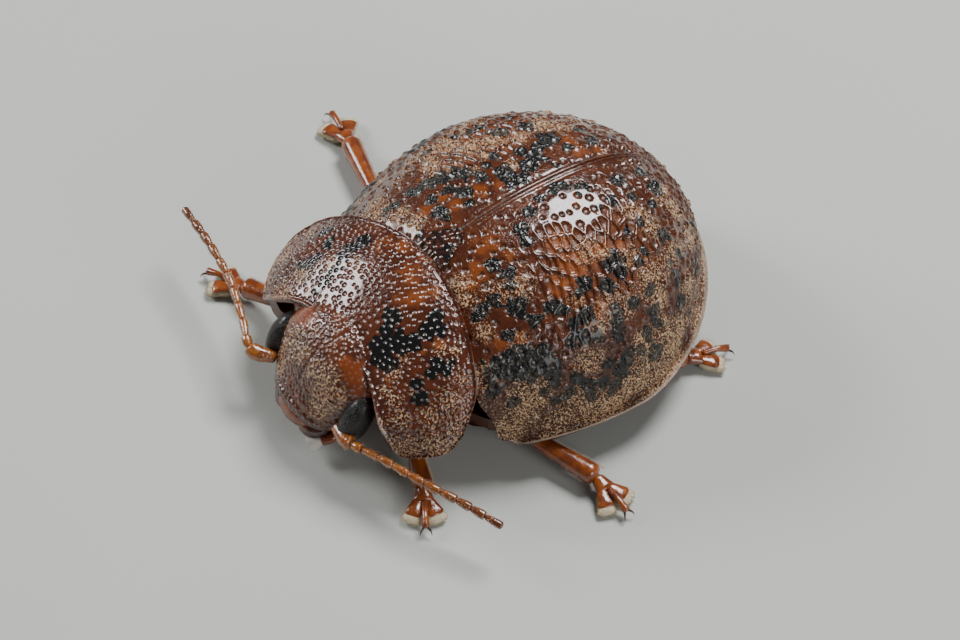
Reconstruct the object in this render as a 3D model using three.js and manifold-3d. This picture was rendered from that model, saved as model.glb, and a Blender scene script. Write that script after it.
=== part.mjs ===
// A eucalyptus tortoise beetle at life size, standing on six feet.
// Millimetres, +Z up, the floor at Z = 0. The head points along -Y, and the beetle's own left is +X.
import * as THREE from "three";
import { mergeVertices } from "three/addons/utils/BufferGeometryUtils.js";
import Module from "manifold-3d";

const wasm = await Module();
wasm.setup();

// Driving dimensions of the body.
const GAP = 0.1; // clear space between neighbouring plates, about a hundredth of the body's length
const SHELL = 0.45; // thickness of the hard wing cases and of the thorax shield
const BASE_Y = -1.4; // where the thorax shield ends and the wing cases begin, on the midline
const BASE_CURVE = 0.76; // how far forward that edge runs at the sides
const CASE_LENGTH = 5.85;
const CASE_HALF_WIDTH = 3.54;
const CASE_FRONT_HALF_WIDTH = 2.91;
const CASE_CREST_Z = 3.68;
const CASE_FRONT_Z = 3.29;
const CASE_WIDEST = 0.445; // share of the case's length at which it is widest
const CASE_HIGHEST = 0.385; // and at which it is highest
const CASE_CORNER = 0.46; // how far the front corners are rounded back
const MARGIN_FRONT_Z = 0.82; // height of the wing cases' side margin above the floor, at the front
const MARGIN_Z = 0.91; // and behind
const RIM = 0.14; // width of the flat rim along the margin
const SHIELD_LENGTH = 2.0;
const SHIELD_HALF_WIDTH = 2.83;
const SHIELD_FRONT_HALF_WIDTH = 2.13;
const SHIELD_FRONT_Z = 2.3;
const SHIELD_BASE_Z = 3.2;
const SHIELD_MARGIN_FRONT_Z = 1.06;
const SHIELD_MARGIN_Z = 1.4;
const SHIELD_CORNER = 0.26; // how far its hind corners are rounded forwards
const BELLY_Z = 0.72;

const lerp = THREE.MathUtils.lerp;
const smooth = THREE.MathUtils.smoothstep;
const vec = (x, y, z) => new THREE.Vector3(x, y, z);

// Colours and finishes.
const finish = (color, roughness) =>
  new THREE.MeshStandardMaterial({ color, roughness, metalness: 0 });
const FINISH = {
  case: finish(0x6b2e14, 0.35),
  shield: finish(0x5e2412, 0.38),
  head: finish(0x5a2414, 0.4),
  eye: finish(0x14110f, 0.3),
  mouth: finish(0x2a120b, 0.35),
  palp: finish(0xcdbfa6, 0.5),
  antenna: finish(0x9a4a1a, 0.4),
  belly: finish(0x4a2010, 0.45),
  leg: finish(0x8a3510, 0.32),
  foot: finish(0x93400f, 0.35),
};

// Solids: a closed geometry becomes a manifold solid and back.
function solidOf(geometry) {
  const bare = new THREE.BufferGeometry();
  const source = geometry.index ? geometry.toNonIndexed() : geometry;
  bare.setAttribute("position", source.getAttribute("position").clone());
  const merged = mergeVertices(bare, 1e-4);
  const index = merged.index.array;
  const kept = [];
  for (let i = 0; i < index.length; i += 3) {
    const [a, b, c] = [index[i], index[i + 1], index[i + 2]];
    if (a !== b && b !== c && c !== a) kept.push(a, b, c);
  }
  return new wasm.Manifold(
    new wasm.Mesh({
      numProp: 3,
      vertProperties: new Float32Array(merged.getAttribute("position").array),
      triVerts: new Uint32Array(kept),
    }),
  );
}

function geometryOf(solid) {
  const bodies = solid.decompose();
  const main = bodies.reduce((a, b) => (b.volume() > a.volume() ? b : a));
  const mesh = main.getMesh();
  const geometry = new THREE.BufferGeometry();
  geometry.setAttribute("position", new THREE.BufferAttribute(mesh.vertProperties, 3));
  geometry.setIndex(new THREE.BufferAttribute(mesh.triVerts, 1));
  geometry.computeVertexNormals();
  return geometry;
}

const fuse = (solids) => solids.reduce((whole, piece) => whole.add(piece));
const carve = (solid, cutters) => cutters.reduce((left, cutter) => left.subtract(cutter), solid);

function ellipsoid(centre, radii, tilt = 0, grow = 0, around = 14, along = 10) {
  const ball = new THREE.SphereGeometry(1, around, along);
  ball.rotateX(Math.PI / 2);
  ball.scale(radii.x + grow, radii.y + grow, radii.z + grow);
  ball.rotateX(tilt);
  ball.translate(centre.x, centre.y, centre.z);
  return solidOf(ball);
}

// Joins an outer and an inner grid of points, of the same number of rows and columns, into one closed wall.
function wallOf(outer, inner) {
  const rows = outer.length;
  const columns = outer[0].length;
  const points = [];
  const quad = (a, b, c, d) => points.push(a, b, c, a, c, d);
  for (let i = 0; i + 1 < rows; i++)
    for (let j = 0; j + 1 < columns; j++) {
      quad(outer[i][j], outer[i][j + 1], outer[i + 1][j + 1], outer[i + 1][j]);
      quad(inner[i][j], inner[i + 1][j], inner[i + 1][j + 1], inner[i][j + 1]);
    }
  for (let i = 0; i + 1 < rows; i++) {
    quad(outer[i][0], outer[i + 1][0], inner[i + 1][0], inner[i][0]);
    const end = columns - 1;
    quad(outer[i + 1][end], outer[i][end], inner[i][end], inner[i + 1][end]);
  }
  for (let j = 0; j + 1 < columns; j++) {
    quad(outer[0][j + 1], outer[0][j], inner[0][j], inner[0][j + 1]);
    const end = rows - 1;
    quad(outer[end][j], outer[end][j + 1], inner[end][j + 1], inner[end][j]);
  }
  return solidOf(new THREE.BufferGeometry().setFromPoints(points));
}

// Skins a row of closed rings, with a flat fan over each end.
function loftOf(rings) {
  const points = [];
  const count = rings[0].length;
  for (let i = 0; i + 1 < rings.length; i++)
    for (let j = 0; j < count; j++) {
      const k = (j + 1) % count;
      points.push(rings[i][j], rings[i][k], rings[i + 1][k]);
      points.push(rings[i][j], rings[i + 1][k], rings[i + 1][j]);
    }
  const cap = (ring, flip) => {
    const middle = ring.reduce((sum, p) => sum.add(p), vec(0, 0, 0)).divideScalar(count);
    ring.forEach((p, j) => {
      const q = ring[(j + 1) % count];
      points.push(...(flip ? [middle, q, p] : [middle, p, q]));
    });
  };
  cap(rings[0], true);
  cap(rings[rings.length - 1], false);
  return solidOf(new THREE.BufferGeometry().setFromPoints(points));
}

// A round bar through a curve, its radius given along it, with a number of sides.
function barAlong(curve, radiusAt, steps, sides) {
  const frames = curve.computeFrenetFrames(steps, false);
  const rings = [];
  for (let i = 0; i <= steps; i++) {
    const centre = curve.getPointAt(i / steps);
    const radius = radiusAt(i / steps);
    const ring = [];
    for (let j = 0; j < sides; j++) {
      const angle = (2 * Math.PI * j) / sides;
      ring.push(
        centre
          .clone()
          .addScaledVector(frames.normals[i], radius * Math.cos(angle))
          .addScaledVector(frames.binormals[i], radius * Math.sin(angle)),
      );
    }
    rings.push(ring);
  }
  return loftOf(rings);
}

// The wing cases' form, in shares of their length and half width.
const swell = (share, peak, front, rise, fall, drop) => {
  if (share < peak) return lerp(1, front, ((peak - share) / peak) ** rise);
  return Math.max(0, 1 - ((share - peak) / (1 - peak)) ** fall) ** drop;
};
const frontWidth = CASE_FRONT_HALF_WIDTH / CASE_HALF_WIDTH;
const frontHeight = (CASE_FRONT_Z - MARGIN_Z) / (CASE_CREST_Z - MARGIN_Z);
const caseWidthShare = (share) => swell(share, CASE_WIDEST, frontWidth, 2.06, 1.58, 0.57);
const caseCrestShare = (share) => swell(share, CASE_HIGHEST, frontHeight, 1.96, 2.59, 0.534);

// The section across the body is a flattened arch, a little fuller over the wing cases.
function domeProfile(across, fullness = 0) {
  const bend = lerp(1.9, 2.48, fullness);
  return Math.max(0, 1 - Math.abs(across) ** bend) ** lerp(0.58, 0.53, fullness);
}

// The edge between shield and wing cases runs forward to the sides, and the corners on either side
// of it are rounded, so that a notch opens between them.
const baseLine = (across) => -BASE_CURVE * across ** 2;
const cornerTurn = (across, depth) => depth * smooth(Math.abs(across), 0.78, 1) ** 2;

function casePoint(share, across, inset) {
  const halfWidth = caseWidthShare(share) * (CASE_HALF_WIDTH - RIM - inset);
  const margin = lerp(MARGIN_FRONT_Z, MARGIN_Z, Math.min(1, share / 0.6));
  const foot = inset ? margin - 0.08 : margin + 0.04;
  const crest = caseCrestShare(share) * (CASE_CREST_Z - inset - foot);
  const y = BASE_Y + GAP + share * (CASE_LENGTH - RIM - inset);
  const fade = (1 - share) ** 2;
  const side = across < 0 ? -1 : 1;
  return vec(
    (side * GAP) / 2 + halfWidth * across,
    y + (baseLine(across) + cornerTurn(across, CASE_CORNER)) * fade,
    foot + crest * domeProfile(across, smooth(share, 0, 0.4)),
  );
}

// A point moved outwards in plan, square to the margin, by the rim's width.
function rimPoint(share, inset, width) {
  const here = casePoint(share, 1, inset);
  const step = 0.01;
  const along = casePoint(Math.min(1, share + step), 1, inset).sub(
    casePoint(Math.max(0, share - step), 1, inset),
  );
  const out = vec(along.y, -along.x, 0).normalize();
  return here.addScaledVector(out, width).add(vec(0, 0, -0.02));
}

function wingCase() {
  const rows = 20;
  const columns = 11;
  const outer = [];
  const inner = [];
  for (let i = 0; i <= rows; i++) {
    const share = Math.sin((Math.PI / 2) * (i / rows));
    const across = (j) => Math.sin((Math.PI / 2) * (j / (columns - 1)));
    const row = (inset) => Array.from({ length: columns }, (_, j) => casePoint(share, across(j), inset));
    outer.push([...row(0), rimPoint(share, 0, RIM)]);
    inner.push([...row(SHELL), rimPoint(share, SHELL, RIM / 2)]);
  }
  return wallOf(outer, inner);
}

// The thorax shield, in shares from its front edge to its base and from the midline to its side.
const shieldFront = (across) =>
  BASE_Y - SHIELD_LENGTH - 0.28 * smooth(Math.abs(across), 0.4, 0.95) + cornerTurn(across, 0.14);
const shieldBack = (across) => BASE_Y + baseLine(across) - cornerTurn(across, SHIELD_CORNER);

function shieldPoint(share, across, inset) {
  const widening = Math.sin((Math.PI / 2) * share ** 0.83);
  const halfWidth = lerp(SHIELD_FRONT_HALF_WIDTH, SHIELD_HALF_WIDTH, widening) - inset;
  const foot = lerp(SHIELD_MARGIN_FRONT_Z, SHIELD_MARGIN_Z, share) - inset * 0.2;
  const crest = lerp(SHIELD_FRONT_Z, SHIELD_BASE_Z, Math.sin((Math.PI / 2) * share)) - inset;
  return vec(
    halfWidth * across,
    lerp(shieldFront(across), shieldBack(across), share),
    foot + (crest - foot) * domeProfile(across),
  );
}

function shield() {
  const rows = 9;
  const columns = 18;
  const grid = (inset) =>
    Array.from({ length: rows + 1 }, (_, i) =>
      Array.from({ length: columns + 1 }, (_, j) =>
        shieldPoint(i / rows, Math.sin((Math.PI / 2) * ((2 * j) / columns - 1)), inset),
      ),
    );
  return wallOf(grid(0), grid(SHELL));
}

// A closed ring across the body: over the back from one side to the other, just inside the shell
// whose points it is given, and back under the belly.
function bodyRing(shellPoint, bellyZ) {
  const half = 9;
  const ring = [];
  for (let j = 0; j <= half; j++) ring.push(shellPoint(Math.sin((Math.PI / 2) * ((2 * j) / half - 1))));
  for (let j = 1; j < half; j++) {
    const across = 1 - (2 * j) / half;
    const above = shellPoint(across);
    ring.push(vec(above.x, above.y, lerp(bellyZ, shellPoint(1).z, across ** 2)));
  }
  return ring;
}

// The hind body fills the wing cases, a gap inside them. Its underside steps at each belly plate.
function hindBody(fromShare, toShare, plates) {
  const rings = [];
  const steps = plates * 2;
  for (let i = 0; i <= steps; i++) {
    const share = lerp(fromShare, toShare, Math.sin(((Math.PI / 2) * i) / steps));
    const lap = i % 2 ? 0 : 0.06;
    rings.push(bodyRing((across) => casePoint(share, across, SHELL + GAP), BELLY_Z + lap));
  }
  return loftOf(rings);
}

// The fore body fills the shield, and its front is hollowed for the head.
function foreBody() {
  const rings = [];
  const steps = 5;
  for (let i = 0; i <= steps; i++) {
    const share = lerp(0.22, 0.97, i / steps);
    rings.push(bodyRing((across) => shieldPoint(share, across, SHELL + GAP), BELLY_Z));
  }
  return loftOf(rings);
}

// The little triangular plate between the bases of the wing cases. Grown, it is the room it needs.
const PLATE = { length: 0.72, halfWidth: 0.42, thickness: 0.5, slope: 0.3 };

function scutellum(grow = 0) {
  const length = PLATE.length + 1.5 * grow;
  const halfWidth = PLATE.halfWidth + grow;
  const outline = new THREE.Shape();
  outline.moveTo(-halfWidth, -5 * grow);
  outline.lineTo(halfWidth, -5 * grow);
  outline.lineTo(halfWidth, 0);
  outline.quadraticCurveTo(halfWidth * 0.75, length * 0.7, 0, length);
  outline.quadraticCurveTo(-halfWidth * 0.75, length * 0.7, -halfWidth, 0);
  const depth = PLATE.thickness + 10 * grow;
  const plate = new THREE.ExtrudeGeometry(outline, { depth, bevelEnabled: false, curveSegments: 4 });
  plate.translate(0, 0, -PLATE.thickness - 5 * grow);
  plate.rotateX(PLATE.slope);
  plate.translate(0, BASE_Y + GAP, CASE_FRONT_Z + 0.06);
  return solidOf(plate);
}

// The head, bent down and forwards, with its mouthparts.
const HEAD_TILT = -0.5;
const HEAD = { centre: vec(0, -3.42, 1.45), radii: vec(1.28, 0.75, 1.15) };
const EYE = { centre: vec(1.2, -3.68, 1.5), radii: vec(0.3, 0.36, 0.52) };
const LIP = { centre: vec(0, -4.28, 0.68), radii: vec(0.45, 0.2, 0.25) };
const JAW = { centre: vec(0.38, -4.05, 0.56), radii: vec(0.34, 0.34, 0.27) };
const SIDES = [
  { name: "left", sign: 1 },
  { name: "right", sign: -1 },
];
const onSide = (point, sign) => vec(point.x * sign, point.y, point.z);

const eyeSolid = (sign, grow = 0) =>
  ellipsoid(onSide(EYE.centre, sign), EYE.radii, HEAD_TILT, grow, 14, 10);

const jawSolid = (sign, grow = 0) =>
  ellipsoid(onSide(JAW.centre, sign), JAW.radii, HEAD_TILT, grow, 12, 8);

function headCore(grow = 0) {
  const skull = ellipsoid(HEAD.centre, HEAD.radii, HEAD_TILT, grow, 20, 14);
  const face = ellipsoid(vec(0, -4.02, 1.0), vec(0.85, 0.36, 0.5), HEAD_TILT, grow, 14, 10);
  return skull.add(face);
}

const lipSolid = (grow = 0) => ellipsoid(LIP.centre, LIP.radii, HEAD_TILT, grow, 12, 8);

// A palp: a thin stalk from under the jaw, and a broad pale end joint.
const PALP = [vec(0.62, -3.75, 0.6), vec(0.78, -3.95, 0.48), vec(0.6, -4.3, 0.32)];

function palp(sign) {
  const [root, bend, tip] = PALP.map((point) => onSide(point, sign));
  const stalk = new THREE.QuadraticBezierCurve3(root, bend, bend.clone().lerp(tip, 0.5));
  const club = new THREE.LineCurve3(bend.clone().lerp(tip, 0.35), tip);
  return fuse([
    barAlong(stalk, () => 0.17, 3, 7),
    barAlong(club, (t) => lerp(0.15, 0.22, t), 2, 7),
  ]);
}

// An antenna of eleven joints: each swells towards its end, so that the line is beaded.
const ANTENNA_JOINTS = 11;
const ANTENNA_LINES = {
  left: [
    [0.95, -4.02, 1.05],
    [1.38, -4.03, 1.05],
    [2.02, -3.8, 1.1],
    [2.9, -3.47, 1.1],
    [3.63, -3.09, 1.0],
    [4.46, -2.72, 0.9],
  ],
  right: [
    [-0.92, -4.05, 1.1],
    [-1.25, -4.36, 1.18],
    [-1.92, -4.15, 1.25],
    [-2.69, -3.88, 1.3],
    [-3.72, -3.69, 1.32],
    [-4.74, -3.6, 1.3],
  ],
};

function antennaLength(side, from, to) {
  const line = new THREE.CatmullRomCurve3(ANTENNA_LINES[side].map((p) => vec(...p)));
  const count = to - from;
  const piece = new THREE.Curve();
  const reach = (t) => lerp(from, to, t) / ANTENNA_JOINTS;
  piece.getPoint = (t) => line.getPointAt(Math.min(1, reach(t)));
  piece.getPointAt = piece.getPoint;
  piece.getTangentAt = (t) => line.getTangentAt(Math.min(1, reach(t)));
  const radiusAt = (t) => {
    const joint = reach(t) * ANTENNA_JOINTS;
    const within = joint - Math.floor(joint + 1e-6);
    const swell = within < 0.01 ? 0.8 : lerp(0.85, 1, within);
    const base = joint < 1 ? 0.27 : lerp(0.25, 0.2, joint / ANTENNA_JOINTS);
    return base * swell;
  };
  return barAlong(piece, radiusAt, count * 3, 8);
}

// Legs. Each entry gives where the thigh leaves the body, and for each side the knee, the ankle and
// the foot's heading, which turns from straight out to the side towards the back.
const LEGS = [
  {
    name: "front",
    root: [0.8, -2.6, 0.66],
    left: { knee: [1.9, -2.9, 0.62], ankle: [2.55, -3.15, 0.32], turn: -0.53 },
    right: { knee: [2.05, -2.85, 0.62], ankle: [3.2, -3.25, 0.32], turn: -0.38 },
  },
  {
    name: "mid",
    root: [1.0, -0.75, 0.6],
    left: { knee: [2.6, -0.95, 0.48], ankle: [4.15, -0.33, 0.32], turn: 0.07 },
    right: { knee: [3.15, -0.1, 0.48], ankle: [5.15, 0.45, 0.32], turn: 0.2 },
  },
  {
    name: "hind",
    root: [1.05, 0.75, 0.6],
    left: { knee: [2.3, 1.5, 0.48], ankle: [2.75, 2.75, 0.32], turn: 1.36 },
    right: { knee: [2.3, 1.55, 0.48], ankle: [2.8, 2.75, 0.32], turn: 1.05 },
  },
];
const COXA_RADII = vec(0.42, 0.34, 0.3);
const THIGH_RADIUS = 0.29;
const SHIN_RADIUS = 0.23;

const coxaSolid = (root, grow = 0) => ellipsoid(root, COXA_RADII, 0, grow, 12, 8);

// Cuts a limb off square to a direction, half a gap short of a point.
function trimmed(solid, point, towards) {
  const normal = towards.clone().normalize();
  return solid.trimByPlane(normal.toArray(), normal.dot(point) + GAP / 2);
}

function thighBar(root, knee, grow = 0) {
  const way = knee.clone().sub(root).normalize();
  const start = root.clone().addScaledVector(way, 0.2);
  const end = knee.clone().addScaledVector(way, 0.3);
  const belly = (t) => THIGH_RADIUS * (0.72 + 0.28 * Math.sin(Math.PI * t)) + grow;
  return barAlong(new THREE.LineCurve3(start, end), belly, 6, 10);
}

function thigh(root, knee, shinWay) {
  const way = knee.clone().sub(root).normalize();
  const bar = thighBar(root, knee).subtract(coxaSolid(root, GAP));
  return trimmed(bar, knee, way.negate().sub(shinWay));
}

function shin(knee, ankle, thighWay, heading) {
  const way = ankle.clone().sub(knee).normalize();
  const start = knee.clone().addScaledVector(way, -0.3);
  const end = ankle.clone().addScaledVector(way, 0.25);
  const flare = (t) => SHIN_RADIUS * lerp(0.95, 1.15, t);
  const bar = barAlong(new THREE.LineCurve3(start, end), flare, 3, 8);
  const atKnee = trimmed(bar, knee, way.clone().add(thighWay));
  return trimmed(atKnee, ankle, heading.clone().negate());
}

// A foot in its own frame: +X ahead of the ankle, the floor at Z = 0. A wedge, the two broad pads of
// the third joint, and the claw joint that runs out from between them.
const FOOT = { pad: vec(0.27, 0.2, 0.17), padX: 0.42, padY: 0.2, length: 0.78 };

function foot() {
  const wedge = new THREE.LineCurve3(vec(GAP / 2, 0, 0.3), vec(0.4, 0, 0.2));
  const clawJoint = new THREE.QuadraticBezierCurve3(
    vec(0.3, 0, 0.2),
    vec(0.55, 0, 0.24),
    vec(FOOT.length, 0, 0.14),
  );
  const pieces = [
    barAlong(wedge, (t) => lerp(0.22, 0.2, t), 1, 7),
    barAlong(clawJoint, (t) => lerp(0.1, 0.13, t), 2, 7),
  ];
  for (const sign of [1, -1]) {
    const padCentre = vec(FOOT.padX, sign * FOOT.padY, FOOT.pad.z * 0.8);
    pieces.push(ellipsoid(padCentre, FOOT.pad, 0, 0, 9, 6));
    const claw = new THREE.QuadraticBezierCurve3(
      vec(FOOT.length - 0.08, sign * 0.03, 0.14),
      vec(FOOT.length + 0.1, sign * 0.08, 0.16),
      vec(FOOT.length + 0.16, sign * 0.12, 0.03),
    );
    pieces.push(barAlong(claw, (t) => lerp(0.07, 0.03, t), 2, 5));
  }
  return fuse(pieces).trimByPlane([0, 0, 1], 0);
}

// Assembly.
const beetle = new THREE.Group();

function place(name, solid, material, parent = beetle) {
  const mesh = new THREE.Mesh(geometryOf(solid), material);
  mesh.name = name;
  parent.add(mesh);
  return mesh;
}

const headRoom = headCore(GAP);
const eyeRoom = SIDES.map(({ sign }) => eyeSolid(sign, GAP));
const legRoom = LEGS.flatMap((leg) =>
  SIDES.flatMap(({ name, sign }) => {
    const root = onSide(vec(...leg.root), sign);
    const knee = onSide(vec(...leg[name].knee), sign);
    return [coxaSolid(root, GAP), thighBar(root, knee, GAP)];
  }),
);

place("thorax_shield", carve(shield(), [headRoom, ...eyeRoom]), FINISH.shield);
place("fore_thorax", carve(foreBody(), [headRoom, ...eyeRoom, ...legRoom]), FINISH.belly);
place("mid_thorax", carve(hindBody(0.01, 0.36, 1), legRoom), FINISH.belly);
place("abdomen", carve(hindBody(0.36 + GAP / CASE_LENGTH, 0.985, 5), legRoom), FINISH.belly);

const plateRoom = scutellum(GAP);
const caseSolid = carve(wingCase(), [plateRoom]);
place("wing_case_left", caseSolid, FINISH.case);
place("wing_case_right", caseSolid, FINISH.case).scale.x = -1;
place("scutellum", scutellum(0), FINISH.shield);

const mouthRoom = [lipSolid(GAP), ...SIDES.map(({ sign }) => jawSolid(sign, GAP))];
place("head", carve(headCore(), [...eyeRoom, ...mouthRoom]), FINISH.head);
place("upper_lip", carve(lipSolid(), SIDES.map(({ sign }) => jawSolid(sign, GAP))), FINISH.mouth);

for (const { name, sign } of SIDES) {
  place(`eye_${name}`, eyeSolid(sign), FINISH.eye);
  place(`jaw_${name}`, jawSolid(sign), FINISH.mouth);
  place(`palp_${name}`, carve(palp(sign), [headRoom, jawSolid(sign, GAP)]), FINISH.palp);
  const lengths = [
    ["scape", 0, 2],
    ["flagellum_base", 2, 6],
    ["flagellum_tip", 6, ANTENNA_JOINTS],
  ];
  const halfGap = (GAP / 2) * (ANTENNA_JOINTS / 4);
  for (const [label, from, to] of lengths) {
    const start = from ? from + halfGap : 0;
    const end = to < ANTENNA_JOINTS ? to - halfGap : to;
    const bar = carve(antennaLength(name, start, end), [headRoom, eyeRoom[sign > 0 ? 0 : 1]]);
    place(`antenna_${name}_${label}`, bar, FINISH.antenna);
  }
}

const footSolid = foot();
for (const leg of LEGS)
  for (const { name, sign } of SIDES) {
    const label = `${leg.name}_${name}`;
    const { knee: kneeAt, ankle: ankleAt, turn } = leg[name];
    const root = onSide(vec(...leg.root), sign);
    const knee = onSide(vec(...kneeAt), sign);
    const ankle = onSide(vec(...ankleAt), sign);
    const heading = vec(Math.cos(turn) * sign, Math.sin(turn), 0);
    const thighWay = knee.clone().sub(root).normalize();
    const shinWay = ankle.clone().sub(knee).normalize();
    const body = new THREE.Group();
    beetle.add(body);
    place(`coxa_${label}`, coxaSolid(root), FINISH.leg, body);
    place(`thigh_${label}`, thigh(root, knee, shinWay), FINISH.leg, body);
    place(`shin_${label}`, shin(knee, ankle, thighWay, heading), FINISH.leg, body);
    const footMesh = place(`foot_${label}`, footSolid, FINISH.foot, body);
    footMesh.position.set(ankle.x, ankle.y, 0);
    footMesh.rotation.z = Math.atan2(heading.y, heading.x);
  }

// The origin is the centre of the whole beetle's footprint, on the floor.
const reach = new THREE.Box3().setFromObject(beetle, true);
beetle.position.set(-(reach.min.x + reach.max.x) / 2, -(reach.min.y + reach.max.y) / 2, 0);

const model = new THREE.Group();
model.add(beetle);

export default model;
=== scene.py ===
# %% [markdown]
# # A eucalyptus tortoise beetle, life size
#
# The real beetle is about 9 mm long: a high, glossy, red-brown dome of two wing cases, a broad
# shield over the thorax, and a head bent down below it. Everything here is made around the packed
# CAD model, in metres, so this first cell loads it before anything is added.

# %% Load the frame
import math

import bmesh
import bpy
import numpy as np
from mathutils import Matrix, Vector, kdtree, noise


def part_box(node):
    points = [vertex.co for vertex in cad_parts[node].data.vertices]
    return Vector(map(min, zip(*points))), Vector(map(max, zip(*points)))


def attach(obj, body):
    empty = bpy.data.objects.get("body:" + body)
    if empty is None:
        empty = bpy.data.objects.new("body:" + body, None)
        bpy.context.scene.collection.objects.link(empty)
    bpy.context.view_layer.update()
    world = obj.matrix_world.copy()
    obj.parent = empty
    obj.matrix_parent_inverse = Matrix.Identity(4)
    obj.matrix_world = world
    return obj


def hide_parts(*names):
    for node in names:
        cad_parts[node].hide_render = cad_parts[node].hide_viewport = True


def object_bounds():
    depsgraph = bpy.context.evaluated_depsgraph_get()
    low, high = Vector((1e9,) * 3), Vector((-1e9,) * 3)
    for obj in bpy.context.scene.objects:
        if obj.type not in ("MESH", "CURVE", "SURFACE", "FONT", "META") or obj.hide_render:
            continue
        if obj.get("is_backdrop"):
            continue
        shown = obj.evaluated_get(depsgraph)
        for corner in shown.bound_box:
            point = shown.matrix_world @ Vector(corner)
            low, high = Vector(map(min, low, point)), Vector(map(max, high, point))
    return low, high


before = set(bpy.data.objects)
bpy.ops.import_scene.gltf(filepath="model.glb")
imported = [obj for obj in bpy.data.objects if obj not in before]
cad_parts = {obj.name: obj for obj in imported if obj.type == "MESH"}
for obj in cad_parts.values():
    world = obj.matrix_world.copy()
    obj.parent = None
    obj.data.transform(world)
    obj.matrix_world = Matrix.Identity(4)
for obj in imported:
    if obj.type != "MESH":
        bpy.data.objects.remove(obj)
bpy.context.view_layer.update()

# %% [markdown]
# The beetle is easiest to think of in its own frame, in millimetres: x to its left from the
# midline, y backwards, z up from the floor. The midline lies between the wing cases, and the tip
# of the wing cases fixes y, so both are read off the frame. `spot` turns such a place, or an
# array of them, into metres in the shared frame.

# %% The beetle's own frame
MM = 0.001
GAP = 0.1  # between neighbouring plates
BASE_Y = -1.4  # where the shield and the wing cases meet on the midline
BASE_CURVE = 0.76  # how far that line runs forward towards the sides
CASE_LENGTH = 5.85

case_low, case_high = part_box("wing_case_left")
other_low, other_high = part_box("wing_case_right")
MIDLINE = (case_low[0] + other_high[0]) / 2
SHIFT = np.array([MIDLINE, case_high[1] - (BASE_Y + GAP + CASE_LENGTH) * MM, 0.0])
print("midline at", round(MIDLINE / MM, 3), "mm")


def spot(x, y, z):
    return np.stack(np.broadcast_arrays(x, y, z), axis=-1) * MM + SHIFT


def near(x, y, z):
    return Vector(spot(x, y, z).tolist())


# %% [markdown]
# The camera stands where the photograph was taken: in front of the beetle, to its left, and
# looking down at about 51 degrees from a hand's breadth away. The lens is long, so the beetle
# hardly tapers. The clip distance has to come down to millimetres for so small a model.

# %% Camera
AZIMUTH = math.radians(52.2)
ELEVATION = math.radians(50.9)
ROLL = math.radians(3.53)
DISTANCE = 110.0  # millimetres from the aim
PIXELS_PER_MM = 53.8
FRAME_WIDTH = 960
FRAME_HEIGHT = 640
SENSOR_WIDTH = 36
AIM = (0, 0, 1.8)
AIM_OFFSET = (-0.117, -0.868)  # from AIM to what the middle of the picture shows, in millimetres

back = Vector((
    math.sin(AZIMUTH) * math.cos(ELEVATION),
    -math.cos(AZIMUTH) * math.cos(ELEVATION),
    math.sin(ELEVATION),
))
level = Vector((math.cos(AZIMUTH), math.sin(AZIMUTH), 0))
upward = level.cross(-back)
right = level * math.cos(ROLL) + upward * math.sin(ROLL)
above = -level * math.sin(ROLL) + upward * math.cos(ROLL)
aim = near(*AIM) + (right * AIM_OFFSET[0] + above * AIM_OFFSET[1]) * MM

bpy.ops.object.camera_add(location=aim + back * DISTANCE * MM)
camera = bpy.context.object
camera.matrix_world = Matrix.LocRotScale(
    camera.location, Matrix((right, above, back)).transposed(), None
)
camera.data.sensor_width = SENSOR_WIDTH
camera.data.lens = SENSOR_WIDTH * DISTANCE * PIXELS_PER_MM / FRAME_WIDTH
camera.data.clip_start = 0.005
camera.data.clip_end = 5
bpy.context.scene.camera = camera
print("lens", round(camera.data.lens, 1), "mm")

# %% [markdown]
# Three soft boxes light it as a macro photographer's would. The key stands above and behind, and
# draws the bright net of ridges on the left wing case. One stands low on the far side of the head
# and lights the shield, and a weak one lights the near flank. A pale sky fills the shadows.
# A round area light gives round, soft-edged highlights, as a real soft box does.


# %% Lights and floor
def soft_box(name, azimuth, elevation, distance, size, power):
    """An area light that looks at the beetle. Azimuth 0 is ahead of it, and 90 is on its left."""
    turn, climb = math.radians(azimuth), math.radians(elevation)
    level_reach = math.cos(climb)
    way = Vector((math.sin(turn) * level_reach, -math.cos(turn) * level_reach, math.sin(climb)))
    bpy.ops.object.light_add(type="AREA", location=near(0, 0, 2) + way * distance * MM)
    light = bpy.context.object
    light.name = name
    light.rotation_euler = (-way).to_track_quat("-Z", "Y").to_euler()
    light.data.shape = "DISK"
    light.data.size = size * MM
    light.data.energy = power
    print(name, round(power * 1000), "mW from", distance, "mm away")


soft_box("key_light", -162, 60, 90, 40, 0.095)
soft_box("side_light", -58, 30, 90, 34, 0.05)
soft_box("flank_light", 95, 24, 100, 50, 0.035)

SKY_COLOUR = (0.93, 0.97, 1.0, 1)
SKY_STRENGTH = 0.1
FLOOR_SIZE = 0.6  # metres
FLOOR_DROP = 0.00001  # metres, so that the soles don't lie in the floor

world = bpy.data.worlds.new("pale_room")
bpy.context.scene.world = world
world.use_nodes = True
sky = world.node_tree.nodes["Background"]
sky.inputs["Color"].default_value = SKY_COLOUR
sky.inputs["Strength"].default_value = SKY_STRENGTH

bpy.ops.mesh.primitive_plane_add(size=FLOOR_SIZE, location=(0, 0, -FLOOR_DROP))
floor = bpy.context.object
floor.name = "floor"
floor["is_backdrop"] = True

# %% [markdown]
# Shader maths reads best as sums. `Shade` wraps one output of a node, so that `1 - wax * 0.5`
# adds the Math nodes it needs, and `node` adds any other node, with its settings made first.


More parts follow.
